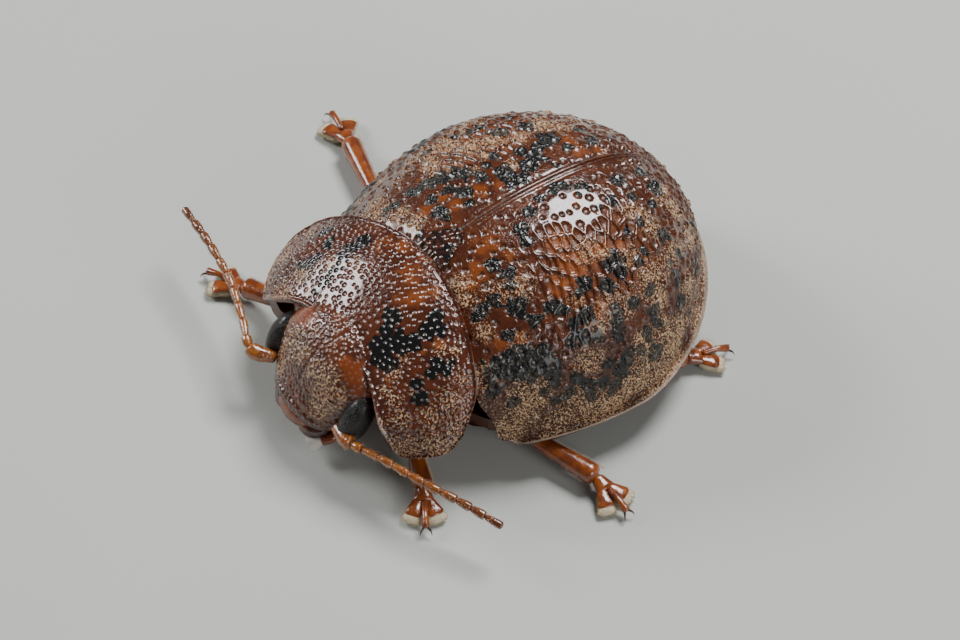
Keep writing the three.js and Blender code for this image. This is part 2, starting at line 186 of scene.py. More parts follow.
# %% A value that can be used in sums
class Shade:
    """One output of a material's nodes."""

    def __init__(self, tree, socket=None):
        self.tree = tree
        self.socket = socket

    def node(self, kind, settings=None, inputs=None, output=0):
        made = self.tree.nodes.new("ShaderNode" + kind)
        for name, value in (settings or {}).items():
            setattr(made, name, value)
        for name, value in (inputs or {}).items():
            if isinstance(value, Shade):
                self.tree.links.new(value.socket, made.inputs[name])
            else:
                made.inputs[name].default_value = value
        return Shade(self.tree, made.outputs[output])

    def maths(self, operation, first, second):
        return self.node("Math", {"operation": operation}, {0: first, 1: second})

    def __add__(self, other):
        return self.maths("ADD", self, other)

    __radd__ = __add__

    def __mul__(self, other):
        return self.maths("MULTIPLY", self, other)

    __rmul__ = __mul__

    def __sub__(self, other):
        return self.maths("SUBTRACT", self, other)

    def __rsub__(self, other):
        return self.maths("SUBTRACT", other, self)

    def most(self, other):
        return self.maths("MAXIMUM", self, other)

    def step(self, low, high):
        """Rises smoothly from 0 to 1 between two values."""
        settings = {"interpolation_type": "SMOOTHSTEP"}
        return self.node("MapRange", settings, {"Value": self, "From Min": low, "From Max": high})

    def blend(self, first, second):
        """A colour: the first where this value is 0, and the second where it is 1."""
        return self.node("Mix", {"data_type": "RGBA"}, {0: self, 6: first, 7: second}, output=2)

    def point(self):
        """Object coordinates, which don't slide when the piece is moved."""
        return self.node("TexCoord", output=3)

    def field(self, name):
        """A number that the mesh keeps for each of its points."""
        return self.node("Attribute", {"attribute_name": name}, output=2)

    def cloud(self, size, detail=3.0):
        """Soft noise whose lumps are about that many millimetres across."""
        inputs = {"Vector": self.point(), "Scale": 1 / (size * MM), "Detail": detail}
        return self.node("TexNoise", None, inputs)

    def cells(self, size):
        """Round dimples about that many millimetres apart: 0 in each one's middle."""
        return self.node("TexVoronoi", None, {"Vector": self.point(), "Scale": 1 / (size * MM)})


print("sums that a value can be used in: + - * most step blend")

# %% [markdown]
# Each finish is one Principled shader. Horn is a dark body below a clear coat, dust and hair are
# rough and have none. What is the same all over, such as the coat's own roughness, is set on the
# shader's socket. Only what changes over the surface is linked.


# %% A finish
def colour(red, green, blue):
    return (red, green, blue, 1.0)


def finish_of(name, roughness=0.4, coat=0.0, coat_roughness=0.1, ior=1.5):
    """A new material, its start for sums and a function that links a value to its shader."""
    material = bpy.data.materials.new(name)
    material.use_nodes = True
    shader = material.node_tree.nodes["Principled BSDF"]
    shader.inputs["Roughness"].default_value = roughness
    shader.inputs["Coat Weight"].default_value = coat
    shader.inputs["Coat Roughness"].default_value = coat_roughness
    shader.inputs["IOR"].default_value = ior
    start = Shade(material.node_tree)

    def link(name, value):
        material.node_tree.links.new(value.socket, shader.inputs[name])

    return material, start, link


def bumped(start, height, depth):
    """A Bump node from a height of 0 to 1 that stands for a depth in millimetres."""
    return start.node("Bump", None, {"Height": height, "Distance": depth * MM, "Strength": 1.0})


def told(material):
    print(material.name, "has", len(material.node_tree.nodes), "nodes")


# %% [markdown]
# The floor is a sheet of pale grey paper. A plain grey would do, but two close greys in large
# soft clouds keep it from looking like a screen.

# %% Floor finish
paper, start, link = finish_of("pale_paper", roughness=0.75)
link("Base Color", start.cloud(8.0).blend(colour(0.50, 0.52, 0.49), colour(0.55, 0.565, 0.535)))
floor.data.materials.append(paper)
told(paper)

# %% [markdown]
# Shapes with thousands of pits are easier to work out for all points at once than one by one, so
# a mesh's points are read into an array, moved there and written back. `keep` stores a number
# for each point, which a finish reads by name. `edited` runs edit-mode operators on a whole piece.


# %% Points of a mesh as arrays
def read(piece):
    points = np.empty(len(piece.data.vertices) * 3, dtype=np.float32)
    piece.data.vertices.foreach_get("co", points)
    return points.reshape(-1, 3).astype(float)


def write(piece, points):
    piece.data.vertices.foreach_set("co", np.asarray(points, dtype=np.float32).ravel())
    piece.data.update()


def normals(piece):
    ways = np.empty(len(piece.data.vertices) * 3, dtype=np.float32)
    piece.data.vertex_normals.foreach_get("vector", ways)
    return ways.reshape(-1, 3).astype(float)


def alone(piece):
    bpy.ops.object.select_all(action="DESELECT")
    piece.select_set(True)
    bpy.context.view_layer.objects.active = piece


def edited(piece, *steps):
    """Runs edit-mode operators on all of a piece."""
    alone(piece)
    bpy.ops.object.mode_set(mode="EDIT")
    bpy.ops.mesh.select_all(action="SELECT")
    for step in steps:
        step()
    bpy.ops.object.mode_set(mode="OBJECT")


def keep(piece, name, values):
    """Stores a number for each point, for the finish to read."""
    layer = piece.data.attributes.new(name, "FLOAT", "POINT")
    layer.data.foreach_set("value", np.asarray(values, dtype=np.float32))


def rise(value, low, high):
    """Smooth step of an array."""
    share = np.clip((value - low) / (high - low), 0, 1)
    return share * share * (3 - 2 * share)


print("half way from 1 to 3 is", rise(np.array([2.0]), 1, 3)[0], "of the rise")

# %% [markdown]
# Most of the beetle is bent plate. Such a plate could be a cube that is cut and pushed into shape,
# but then its curve would depend on many small moves. Here a grid primitive is laid on a form,
# which is a formula for the curve, so the shape is exact and two neighbours can share a curve.


# %% A sheet laid on a form
def sheet(name, rows, columns, form):
    """A grid laid on a form. form gets two shares from 0 to 1 and returns places in millimetres."""
    bpy.ops.object.select_all(action="DESELECT")
    bpy.ops.mesh.primitive_grid_add(x_subdivisions=rows, y_subdivisions=columns, size=1)
    piece = bpy.context.object
    piece.name = name
    flat = read(piece) + 0.5
    write(piece, spot(*form(flat[:, 0], flat[:, 1])))
    return piece, flat[:, 0], flat[:, 1]


def facing(piece, way):
    """Turns a sheet's faces so that the middle of it looks that way."""
    if normals(piece)[len(piece.data.vertices) // 2] @ np.array(way) < 0:
        edited(piece, bpy.ops.mesh.flip_normals)


def smooth(piece, angle=75):
    alone(piece)
    bpy.ops.object.shade_smooth_by_angle(angle=math.radians(angle))


def dress(piece, material, slot, *nodes):
    """Gives a piece its finish, hangs it on the root body and hides the CAD parts that it stands for."""
    piece.data.materials.clear()
    piece.data.materials.append(material)
    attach(piece, "root")
    if nodes:
        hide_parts(*nodes)
    print(piece.name, len(piece.data.polygons), "faces")


# %% [markdown]
# A plate has an outside that is seen, an inside that is hardly seen, and an edge. The outside has
# to be fine enough for pits, and an inside as fine would be wasted, so `plate` makes two sheets:
# one fine, one ten times coarser and a wall's thickness deeper. Along the border it joins every
# ten fine steps to one coarse step with a single face, which closes the body.


# %% A plate with a fine outside
def outward():
    bpy.ops.mesh.normals_make_consistent(inside=False)


def border(rows, columns, step):
    """Places on a grid's border in order, step cells apart."""
    down = [(i, 0) for i in range(0, rows, step)] + [(rows, j) for j in range(0, columns, step)]
    up = [(i, columns) for i in range(rows, 0, -step)] + [(0, j) for j in range(columns, 0, -step)]
    return down + up


def plate(name, rows, columns, form, thickness, way, relief, coarse=10):
    """A plate with a fine outside that gets the relief, a coarse inside, and an edge."""
    outside, row, column = sheet(name, rows, columns, form)
    facing(outside, way)
    raised = relief(outside, row, column)
    ways = normals(outside)
    write(outside, read(outside) + ways * (raised * MM)[:, None])
    inside, inner_row, inner_column = sheet(name + "_inside", rows // coarse, columns // coarse, form)
    facing(inside, way)
    write(inside, read(inside) - normals(inside) * thickness * MM)
    count = len(row)
    outer_at = {(round(r * rows), round(c * columns)): k for k, (r, c) in enumerate(zip(row, column))}
    inner_shares = enumerate(zip(inner_row, inner_column))
    inner_at = {(round(r * rows), round(c * columns)): count + k for k, (r, c) in inner_shares}
    facing(inside, [-way[0], -way[1], -way[2]])
    alone(inside)
    outside.select_set(True)
    bpy.context.view_layer.objects.active = outside
    bpy.ops.object.join()
    fine, rough = border(rows, columns, 1), border(rows, columns, coarse)
    shell = bmesh.new()
    shell.from_mesh(outside.data)
    shell.verts.ensure_lookup_table()
    for k, here in enumerate(rough):
        there = rough[(k + 1) % len(rough)]
        run = [fine[(k * coarse + m) % len(fine)] for m in range(coarse + 1)]
        corners = [shell.verts[outer_at[place]] for place in run]
        corners += [shell.verts[inner_at[there]], shell.verts[inner_at[here]]]
        shell.faces.new(corners)
    shell.to_mesh(outside.data)
    shell.free()
    edited(outside, outward)
    smooth(outside)
    return outside


print("the border of a plate of 20 by 30 cells has", len(border(20, 30, 1)), "steps")


# %% [markdown]
# The wing cases are one dome, parted down the middle. Two curves give it: how its width and its
# height swell and fall from base to tip. A flattened arch joins them across. The same sizes make
# the CAD shells, so this dome lies where they lie.

# %% The dome's form
CASE_HALF_WIDTH = 3.54
CASE_FRONT_HALF_WIDTH = 2.91
CASE_CREST_Z = 3.68
CASE_FRONT_Z = 3.29
CASE_WIDEST = 0.445
CASE_HIGHEST = 0.385
CASE_CORNER = 0.46
MARGIN_FRONT_Z = 0.82
MARGIN_Z = 0.91
RIM = 0.14
FLANGE_SHARE = 0.972  # where the dome ends across the case and its flat flange begins
CORNER_FROM = 0.78  # how far out towards the side a plate's corner begins to turn


def swell(share, peak, front, climb, fall, drop):
    """A curve that climbs from front to 1 at its peak and falls to 0 at the end."""
    ahead = np.clip((peak - share) / peak, 0, 1)
    behind = np.clip((share - peak) / (1 - peak), 0, 1)
    return np.where(share < peak, 1 + (front - 1) * ahead**climb, np.clip(1 - behind**fall, 0, 1) ** drop)


def arch(across, fullness=0.0):
    """The height of a flattened arch: 1 in the middle and 0 at both feet."""
    bend = 1.9 + 0.58 * fullness
    return np.clip(1 - np.abs(across) ** bend, 0, 1) ** (0.58 - 0.05 * fullness)


def base_line(across):
    """How far the wing cases' front edge lies behind the midline's, going out to the sides."""
    return -BASE_CURVE * across**2


def corner_turn(across, depth):
    return depth * rise(np.abs(across), CORNER_FROM, 1) ** 2


def dome(share, across):
    """A place on the dome, from base to tip and from the midline to a side, in millimetres."""
    half_width = swell(share, CASE_WIDEST, CASE_FRONT_HALF_WIDTH / CASE_HALF_WIDTH, 2.06, 1.58, 0.57)
    front = (CASE_FRONT_Z - MARGIN_Z) / (CASE_CREST_Z - MARGIN_Z)
    crest = swell(share, CASE_HIGHEST, front, 1.96, 2.59, 0.534)
    margin = MARGIN_FRONT_Z + (MARGIN_Z - MARGIN_FRONT_Z) * np.clip(share / 0.6, 0, 1)
    x = 0.006 + half_width * (CASE_HALF_WIDTH - RIM) * across
    y = BASE_Y + GAP + share * (CASE_LENGTH - RIM)
    y = y + (base_line(across) + corner_turn(across, CASE_CORNER)) * (1 - share) ** 2
    z = margin + crest * (CASE_CREST_Z - margin) * arch(across, rise(share, 0, 0.4))
    return x, y, z


print("the dome is", round(float(dome(CASE_HIGHEST, 0.0)[2]), 2), "mm high at its crest")

# %% [markdown]
# One wing case is half of the dome. Laid straight on it, a grid would crowd on the crest and
# stretch down the flank, so `evenly` spaces it along the curve. `round_corner` bends the grid's
# corner into a quarter circle, the front edge rolls down a little, and the last stretch of each
# row is turned flat outwards as the narrow rim that runs round a real wing case.


# %% The form of one wing case
CORNER_LENGTH = 0.07
CORNER_START = 0.88
ROLL_LENGTH = 0.03
ROLL_FORWARD = 0.06
ROLL_DOWN = 0.1


def evenly(shares, length_along):
    """Spaces shares so that steps along a curve come out equal. length_along gives its points."""
    samples = np.sin(np.linspace(0, math.pi / 2, 400))
    points = np.stack(length_along(samples), axis=-1)
    run = np.concatenate([[0], np.cumsum(np.linalg.norm(np.diff(points, axis=0), axis=1))])
    return np.interp(shares, run / run[-1], samples)


def round_corner(ahead, beside):
    """Bends the corner of a unit square into a quarter circle."""
    return ahead * np.sqrt(1 - beside**2 / 2), beside * np.sqrt(1 - ahead**2 / 2)


def wing_case_form(row, column):
    beyond = np.clip((column - CORNER_START) / (1 - CORNER_START), 0, 1)
    ahead, beside = round_corner(np.clip(1 - row / CORNER_LENGTH, 0, 1), beyond)
    row = np.where(row < CORNER_LENGTH, CORNER_LENGTH * (1 - ahead), row)
    column = np.where(column > CORNER_START, CORNER_START + (1 - CORNER_START) * beside, column)
    share = evenly(row, lambda s: dome(s, np.full_like(s, 0.6)))
    across = evenly(np.clip(column / FLANGE_SHARE, 0, 1), lambda u: dome(np.full_like(u, 0.4), u))
    x, y, z = dome(share, across)
    rolled = np.clip(1 - row / ROLL_LENGTH, 0, 1) ** 2
    y = y - ROLL_FORWARD * rolled
    z = z - ROLL_DOWN * rolled
    step = 0.01
    ahead = dome(np.clip(share + step, 0, 1), 1.0)
    behind = dome(np.clip(share - step, 0, 1), 1.0)
    along_x, along_y = ahead[0] - behind[0], ahead[1] - behind[1]
    size = np.hypot(along_x, along_y)
    flange = np.clip((column - FLANGE_SHARE) / (1 - FLANGE_SHARE), 0, 1)
    x = x + RIM * flange * along_y / size
    y = y - RIM * flange * along_x / size
    z = z - 0.03 * np.sin(math.pi * flange * 0.8) + 0.03 * rise(flange, 0.5, 0.8)
    return x, y, z


def right_wing_case_form(row, column):
    x, y, z = wing_case_form(row, column)
    return -x, y, z


corner = wing_case_form(np.array([0.0]), np.array([1.0]))
print("the front corner lies at", [round(float(value[0]), 2) for value in corner])

# %% [markdown]
# Under a lens the wing cases are covered in pits. A texture could paint them, but the highlights
# would give it away, so they are real dents. Their centres are thrown at random, from a seed, and
# one that lands too near another is dropped. Each point of the mesh then asks a k-d tree how far
# away its nearest two centres are: the distance to one gives a round pit, and the difference
# between both gives the ridge that runs between two pits.


# %% Scattered centres and the nearest of them
def scattered(unroll, spacing, tries, seed):
    """Random pairs of shares, none nearer to another than the spacing once unrolled."""
    dice = np.random.default_rng(seed)
    shares = dice.uniform(0, 1, (tries, 2))
    places = unroll(shares[:, 0], shares[:, 1])
    kept, kept_places = [], np.empty((tries, places.shape[1]))
    for index, place in enumerate(places):
        gaps = kept_places[:len(kept)] - place
        if not kept or np.einsum("ij,ij->i", gaps, gaps).min() > spacing**2:
            kept_places[len(kept)] = place
            kept.append(index)
    return shares[kept, 0], shares[kept, 1]


def nearest_two(points, centres):
    """Distances to the nearest two centres, and which is the nearest."""
    tree = kdtree.KDTree(len(centres))
    for index, centre in enumerate(centres):
        tree.insert(centre, index)
    tree.balance()
    found = [tree.find_n(point, 2) for point in points]
    distances = np.array([[pair[0][2], pair[1][2]] for pair in found])
    return distances[:, 0], distances[:, 1], np.array([pair[0][1] for pair in found])


def lumps(points, size, seed):
    """Soft noise on an array of places, its lumps about that many millimetres across."""
    shift = Vector((seed * 7.1, seed * 3.3, seed * 5.7))
    return np.array([noise.noise(Vector(point) / (size * MM) + shift) for point in points])


def laid_flat(length, breadth):
    """A function that lays a plate's shares out flat, in millimetres."""
    return lambda row, column: np.stack([row * length, column * breadth, row * 0], axis=-1)


trial = scattered(laid_flat(1, 1), 0.1, 500, 1)
print(len(trial[0]), "centres 0.1 mm apart fit in a square millimetre")

# %% [markdown]
# The colours lie in blotches. Drawing them on a flat map would need the map to be stretched over
# the dome. Here each blotch is written down as the picture shows it: across, down and its radius,
# in pixels. `pictured` works out where the camera sees each point of a plate, and `found_on`
# takes the point that shows at a blotch's place. The rest is measured on the plate itself, so a
# blotch is round there, and noise frays its rim.


# %% Blotches where the picture shows them
def pictured(points):
    """Where the camera sees places in the shared frame, in pixels across and down."""
    offset = points - np.array(camera.location)
    scale = DISTANCE * PIXELS_PER_MM / -(offset @ np.array(back))
    across = FRAME_WIDTH / 2 + offset @ np.array(right) * scale
    down = FRAME_HEIGHT / 2 - offset @ np.array(above) * scale
    return np.stack([across, down], axis=-1)


def found_on(piece, marks):
    """Marks in the picture as round spots on a piece: x, y, z and radius in millimetres."""
    points, spots = read(piece), []
    shown = pictured(points)
    turned_away = normals(piece) @ np.array(back) < 0
    for across, down, radius in marks:
        miss = np.hypot(shown[:, 0] - across, shown[:, 1] - down) + FRAME_WIDTH * turned_away
        place = (points[np.argmin(miss)] - SHIFT) / MM
        spots.append((*place, radius / PIXELS_PER_MM))
    return spots


def reach_of(points, spots):
    """For each place, 1 in the middle of the nearest round spot, 0 on its rim and less outside."""
    found = np.full(len(points), -9.0)
    for x, y, z, radius in spots:
        apart = np.linalg.norm(points - spot(x, y, z), axis=1) / MM
        found = np.maximum(found, 1 - apart / radius)
    return found


print("the crest shows at", pictured(spot(*dome(CASE_HIGHEST, 0.0))).round())

# %% [markdown]
# On the wing cases, black is bare horn, wax is cream dust that gathers in the dents, and amber is
# thin horn that the light gets through. The near case has more of them than the far one, which
# the camera sees at a slant.

# %% Blotches of the wing cases
LEFT_BLACK = [
    (500, 370, 14), (512, 367, 16), (525, 364, 17), (540, 362, 15), (551, 371, 10), (553, 384, 6),
    (476, 317, 6), (484, 309, 8), (494, 300, 8), (515, 306, 10), (508, 334, 6), (535, 321, 7),
    (493, 266, 8), (501, 274, 6), (511, 274, 7), (512, 285, 5), (523, 228, 9), (527, 240, 7),
    (531, 212, 7), (540, 198, 5), (553, 188, 7), (566, 184, 6), (583, 189, 7), (619, 181, 8),
    (633, 197, 6), (612, 200, 6), (641, 172, 6), (655, 188, 9), (663, 236, 9), (678, 254, 6),
    (691, 222, 7), (697, 268, 6), (677, 279, 8), (681, 300, 8), (652, 205, 5), (617, 258, 9),
    (608, 266, 6), (607, 286, 8), (622, 272, 7), (650, 290, 6), (633, 304, 7), (617, 308, 7),
    (653, 312, 8), (657, 322, 6), (647, 336, 8), (655, 352, 9), (640, 349, 6), (586, 283, 7),
    (580, 292, 5), (560, 309, 8), (549, 306, 6), (587, 316, 8), (575, 325, 7), (585, 337, 9),
    (570, 342, 6), (597, 336, 6), (618, 325, 8), (619, 338, 6), (626, 358, 10), (622, 371, 9),
    (610, 364, 6), (590, 385, 8), (577, 377, 7), (604, 383, 7), (615, 388, 8), (570, 392, 6),
    (590, 396, 6), (556, 401, 6), (514, 402, 6), (494, 390, 7), (489, 379, 5), (545, 392, 5),
    (640, 262, 6), (645, 250, 5), (670, 262, 4), (628, 231, 5), (640, 222, 5), (600, 206, 4),
]
LEFT_WAX = [
    (460, 285, 14), (463, 300, 12), (485, 333, 12), (484, 370, 8), (530, 400, 30), (510, 430, 25),
    (560, 420, 25), (575, 395, 18), (590, 360, 22), (610, 400, 25), (645, 340, 18), (640, 385, 22),
    (660, 300, 16), (690, 240, 18), (680, 330, 25), (690, 280, 18), (675, 210, 14), (665, 190, 10),
    (645, 275, 8), (630, 310, 8), (610, 300, 8), (580, 300, 7), (600, 330, 8),
]
LEFT_AMBER = [
    (487, 245, 14), (478, 270, 14), (470, 285, 8), (510, 255, 8), (560, 240, 14), (575, 265, 18),
    (560, 285, 14), (600, 250, 12), (620, 245, 8), (520, 340, 10), (500, 345, 10), (600, 310, 12),
    (640, 265, 6), (575, 200, 6), (530, 170, 8),
]
RIGHT_BLACK = [
    (365, 185, 9), (350, 192, 9), (343, 205, 6), (440, 212, 8), (447, 218, 4), (412, 192, 7),
    (425, 183, 9), (440, 177, 9), (455, 173, 9), (468, 172, 9), (482, 176, 6), (412, 171, 6),
    (430, 200, 6), (465, 192, 7), (447, 190, 6), (470, 203, 5), (495, 155, 6), (503, 170, 8),
    (513, 145, 9), (522, 152, 7), (535, 155, 10), (530, 163, 9), (512, 180, 10), (524, 178, 7),
    (549, 137, 9), (540, 145, 7), (567, 147, 6), (592, 140, 8), (580, 130, 6), (612, 138, 5),
    (505, 115, 8), (500, 130, 10), (525, 125, 9), (535, 115, 6), (565, 112, 6), (556, 165, 5),
    (455, 135, 7), (470, 130, 7), (480, 125, 6), (425, 152, 7), (400, 165, 5), (395, 205, 5),
    (385, 212, 5), (487, 165, 5), (420, 235, 4), (600, 125, 5),
]
RIGHT_WAX = [
    (380, 180, 12), (360, 200, 10), (395, 160, 12), (430, 150, 18), (450, 145, 18), (470, 145, 18),
    (490, 140, 14), (430, 165, 14), (400, 215, 14), (415, 222, 12), (395, 225, 8), (485, 155, 8),
    (510, 165, 8), (520, 135, 12), (540, 125, 14), (560, 125, 14), (470, 118, 14), (500, 108, 14),
    (550, 108, 14), (590, 118, 14), (475, 170, 7), (380, 215, 8),
]
RIGHT_AMBER = [
    (375, 195, 8), (425, 210, 10), (445, 195, 8), (480, 190, 10), (455, 205, 8), (570, 140, 10),
    (580, 150, 10), (600, 150, 10), (500, 185, 8), (420, 180, 6),
]
print(len(LEFT_BLACK) + len(RIGHT_BLACK), "black blotches")

# %% [markdown]
# On the middle of each wing case the pits are large and close, and what is left between them is
# a shining net of ridges. Towards the tip and the sides the ground rises in little warts instead.
# Cells that are round on a squeezed map come out long on the beetle, as they are on the real one.


# %% Pits and warts of the wing cases
CASE_RUN = 7.4  # the wing case laid flat
CASE_BREADTH = 4.6
SQUEEZED_BREADTH = 2.9
PIT_SPACING = 0.135
PIT_DEPTH = 0.034
NET_DEPTH = 0.045
WART_SPACING = 0.2
WART_HEIGHT = 0.055


def net_share(row, column, soft_noise):
    """1 where the pits form a net: on the middle of a wing case, towards its base."""
    wavy_column, wavy_row = column + 0.1 * soft_noise, row + 0.08 * soft_noise
    netted = rise(wavy_column, 0.17, 0.27) * (1 - rise(wavy_column, 0.5, 0.62))
    return netted * (1 - rise(wavy_row, 0.45, 0.6)) * rise(row, 0.14, 0.25)


def colour_wing_case(piece, hidden, seed, row, column, noises, marks):
    """Stores how black, waxy and amber each point is. hidden is 1 where the camera sees nothing."""
    points = read(piece)
    rough_noise, soft_noise = noises
    black_spots, wax_spots, amber_spots = (found_on(piece, group) for group in marks)
    scatter = lumps(points, 0.34, seed + 5) + 0.4 * lumps(points, 0.12, seed + 6) - 0.2
    black = reach_of(points, black_spots) + 0.7 * rough_noise
    black = np.maximum(black, scatter * 3 * hidden - (1 - hidden) * 9)
    wax = 0.5 + 0.5 * reach_of(points, wax_spots) + 0.2 * soft_noise
    wax = np.maximum(wax, rise(column, 0.12, 0.3) * (0.45 + 0.5 * soft_noise))
    wax = np.maximum(wax, rise(column, 0.5, 0.95) * (0.75 + 0.5 * soft_noise))
    wax = np.maximum(wax, rise(row, 0.6, 0.9) * (0.7 + 0.6 * soft_noise))
    amber = 0.5 + 0.5 * reach_of(points, amber_spots) + 0.3 * rough_noise
    keep(piece, "black", black)
    keep(piece, "wax", np.clip(wax, 0, 1))
    keep(piece, "amber", np.clip(amber, 0, 1))


def wing_case_relief(form, seed, marks):
    def relief(piece, row, column):
        points = read(piece)
        dice = np.random.default_rng(seed + 1)
        flat, squeezed = laid_flat(CASE_RUN, CASE_BREADTH), laid_flat(CASE_RUN, SQUEEZED_BREADTH)
        noises = lumps(points, 0.16, seed), lumps(points, 0.6, seed + 3)
        netted = net_share(row, column, noises[1])

        pits = scattered(squeezed, PIT_SPACING, 9000, seed)
        near_cell, next_cell, which = nearest_two(squeezed(row, column), squeezed(*pits))
        size = dice.uniform(0.7, 1.25, len(pits[0]))[which]
        near_pit = np.linalg.norm(points - spot(*form(*pits))[which], axis=1) / MM / size
        pit_gap = next_cell - near_cell
        deep = dice.uniform(0.5, 1.0, len(pits[0]))[which]
        height = -PIT_DEPTH * deep * (1 - netted) * (1 - rise(near_pit, 0.03, 0.075))
        height = height - NET_DEPTH * netted * rise(pit_gap, 0.012, 0.075)

        warts = scattered(flat, WART_SPACING, 6000, seed + 2)
        near_wart, _, which = nearest_two(points, spot(*form(*warts)))
        warty = np.clip(rise(row, 0.4, 0.65) + rise(column, 0.42, 0.75), 0, 1) * (1 - netted)
        tall = dice.uniform(0.2, 1.0, len(warts[0]))[which]
        wart = tall * (1 - rise(near_wart / MM, 0.015, 0.12)) * warty
        height = height + WART_HEIGHT * wart + 0.02 * noises[1]
        height = height * rise(column, 0.008, 0.04) * (1 - rise(column, 0.94, 0.975))

        hidden = rise(row, 0.72, 0.9) if form is wing_case_form else rise(column, 0.45, 0.6)
        colour_wing_case(piece, hidden, seed, row, column, noises, marks)
        for name, values in (
            ("near_pit", near_pit), ("pit_gap", pit_gap), ("netted", netted), ("wart", wart),
            ("along", row), ("across", column), ("outer", np.ones(len(row))),
        ):
            keep(piece, name, values)
        seam_ridge = 0.02 * np.exp(-(((column - 0.007) / 0.005) ** 2))
        seam_furrow = 0.012 * np.exp(-(((column - 0.02) / 0.005) ** 2))
        return height + seam_ridge - seam_furrow

    return relief


print("a wing case has room for about", round(CASE_RUN * CASE_BREADTH / WART_SPACING**2), "warts")

# %% [markdown]
# The horn of the wing cases is red-brown under a clear coat, lit through to orange where it is
# thin. Pits, blotches and dust come from the numbers that the mesh keeps, and finer grain from
# noise. Dusty and steep parts lose their gloss, which keeps the highlight where it belongs.

# %% Wing case finish
RED_BROWN = colour(0.062, 0.013, 0.004)
WARM_BROWN = colour(0.105, 0.025, 0.006)
DARK_RED = colour(0.022, 0.006, 0.003)
ORANGE = colour(0.27, 0.064, 0.009)
BLACK = colour(0.004, 0.005, 0.005)
CREAM = colour(0.60, 0.39, 0.22)
PALE_RIM = colour(0.55, 0.43, 0.34)
GLOSSY_HORN = {"roughness": 0.2, "coat": 1.0, "coat_roughness": 0.07, "ior": 1.42}

cuticle, start, link = finish_of("wing_case_cuticle", **GLOSSY_HORN)
across, netted = start.field("across"), start.field("netted")
hole = start.field("near_pit").step(0.06, 0.035)
cell = start.field("pit_gap").step(0.015, 0.045)
pit = hole + netted * (cell - hole)
pit_floor = start.field("pit_gap").step(0.06, 0.11) * netted + hole * (1 - netted) * 0.6
steep = across.step(0.4, 0.75)
amber_share = start.field("amber").step(0.4, 0.8)
lit_pit = pit * (amber_share * 0.6 + 0.4) * start.cloud(0.06).step(0.3, 0.6) * netted
ground = start.cloud(0.35).step(0.35, 0.7).blend(RED_BROWN, WARM_BROWN)
ground = (amber_share * 0.6).blend(ground, ORANGE)
ground = lit_pit.blend(ground, ORANGE)
ground = (steep * 0.4).blend(ground, DARK_RED)
# Painted shade: the round pits outside the net are painted darker, as recesses in shade look.
ground = (hole * (1 - netted) * 0.6).blend(ground, DARK_RED)
black = (start.field("black") + start.cloud(0.09) * 0.5 - 0.22).step(-0.16, 0.02)
ground = (black * 0.97).blend(ground, BLACK)

# %% Wax dust, painted glints, gloss and grain of the wing cases
wax = start.field("wax")
speck = (start.cloud(0.035, detail=1.5) + wax * 0.22).step(0.66, 0.76) * wax.step(0.3, 0.7)
# Pale dots in the pit middles: partly wax in the pits, partly painted glints where each pit would catch
# the light.
pit_glint_and_wax_dot = start.field("near_pit").step(0.028, 0.012) * (1 - netted) * 0.35
# Painted glints: tiny pale points strewn over the black blotches.
painted_glint_on_black = start.cloud(0.03, detail=1).step(0.71, 0.77) * black * 0.5
# From here on speck is the wax dust together with the painted glints, and all of it is blended to cream.
speck = (speck * (1 - black * 0.8) + pit_glint_and_wax_dot * (1 - speck)).most(painted_glint_on_black)
ground = (speck * 0.9).blend(ground, CREAM)
ground = (across.step(0.984, 0.99) * 0.7).blend(ground, PALE_RIM)
link("Base Color", start.field("outer").blend(colour(0.05, 0.012, 0.005), ground))
dull = steep.most(start.field("along").step(0.6, 0.8))
shine = 1 - dull * (1 - start.field("wart").step(0.35, 0.7))
link("Roughness", 0.2 + speck * 0.4 + pit_floor * 0.3 + (1 - shine) * 0.2)
link("Coat Weight", (1 - speck) * (1 - pit_floor * 0.9) * (0.1 + shine * 0.9))
grain = start.cloud(0.035, detail=1) * 0.35 + start.cells(0.085) * (wax * 0.5 + dull * 0.5)
grain = grain + start.cells(0.06) * black * 0.7
link("Normal", bumped(start, grain + pit * netted * -0.6, 0.03))
told(cuticle)

# %% [markdown]
# Each wing case is about 450 points long and 200 across, so a pit of 0.13 mm is eight points
# wide. That is just enough for its rim to catch the light.

# %% Both wing cases
UP = (0, 0, 1)
DOWN = (0, 0, -1)
HORN_THICKNESS = 0.14
CASE_ROWS, CASE_COLUMNS = 450, 200

for side, seed, form, marks in (
    ("left", 11, wing_case_form, (LEFT_BLACK, LEFT_WAX, LEFT_AMBER)),
    ("right", 29, right_wing_case_form, (RIGHT_BLACK, RIGHT_WAX, RIGHT_AMBER)),
):
    name = f"wing_case_{side}"
    relief = wing_case_relief(form, seed, marks)
    piece = plate(name + "_plate", CASE_ROWS, CASE_COLUMNS, form, HORN_THICKNESS, UP, relief)
    dress(piece, cuticle, "wing_case", name)

# %% [markdown]
# The shield over the thorax is one broad saddle. Its hind edge follows the wing cases, its front
# edge is hollowed over the head, and its sides droop to a thin rounded margin. It could be lofted
# between a front and a hind curve. A formula does the same here and lets the hind edge use the
# wing cases' own curve, so the joint between them stays even.

# %% Form of the thorax shield
SHIELD_LENGTH = 2.0
SHIELD_HALF_WIDTH = 2.83
SHIELD_FRONT_HALF_WIDTH = 2.13
SHIELD_FRONT_Z = 2.3
SHIELD_BASE_Z = 3.2
SHIELD_MARGIN_FRONT_Z = 1.06
SHIELD_MARGIN_Z = 1.4
SHIELD_CORNER = 0.26
SHIELD_FRONT_CORNER = 0.14
HOLLOW = 0.28  # how far the front corners reach forward past the middle
HIND_ROUND, SIDE_ROUND = 0.6, 0.78  # where the hind corners begin to round off
FRONT_ROUND, FLANK_ROUND = 0.2, 0.92  # and the front ones


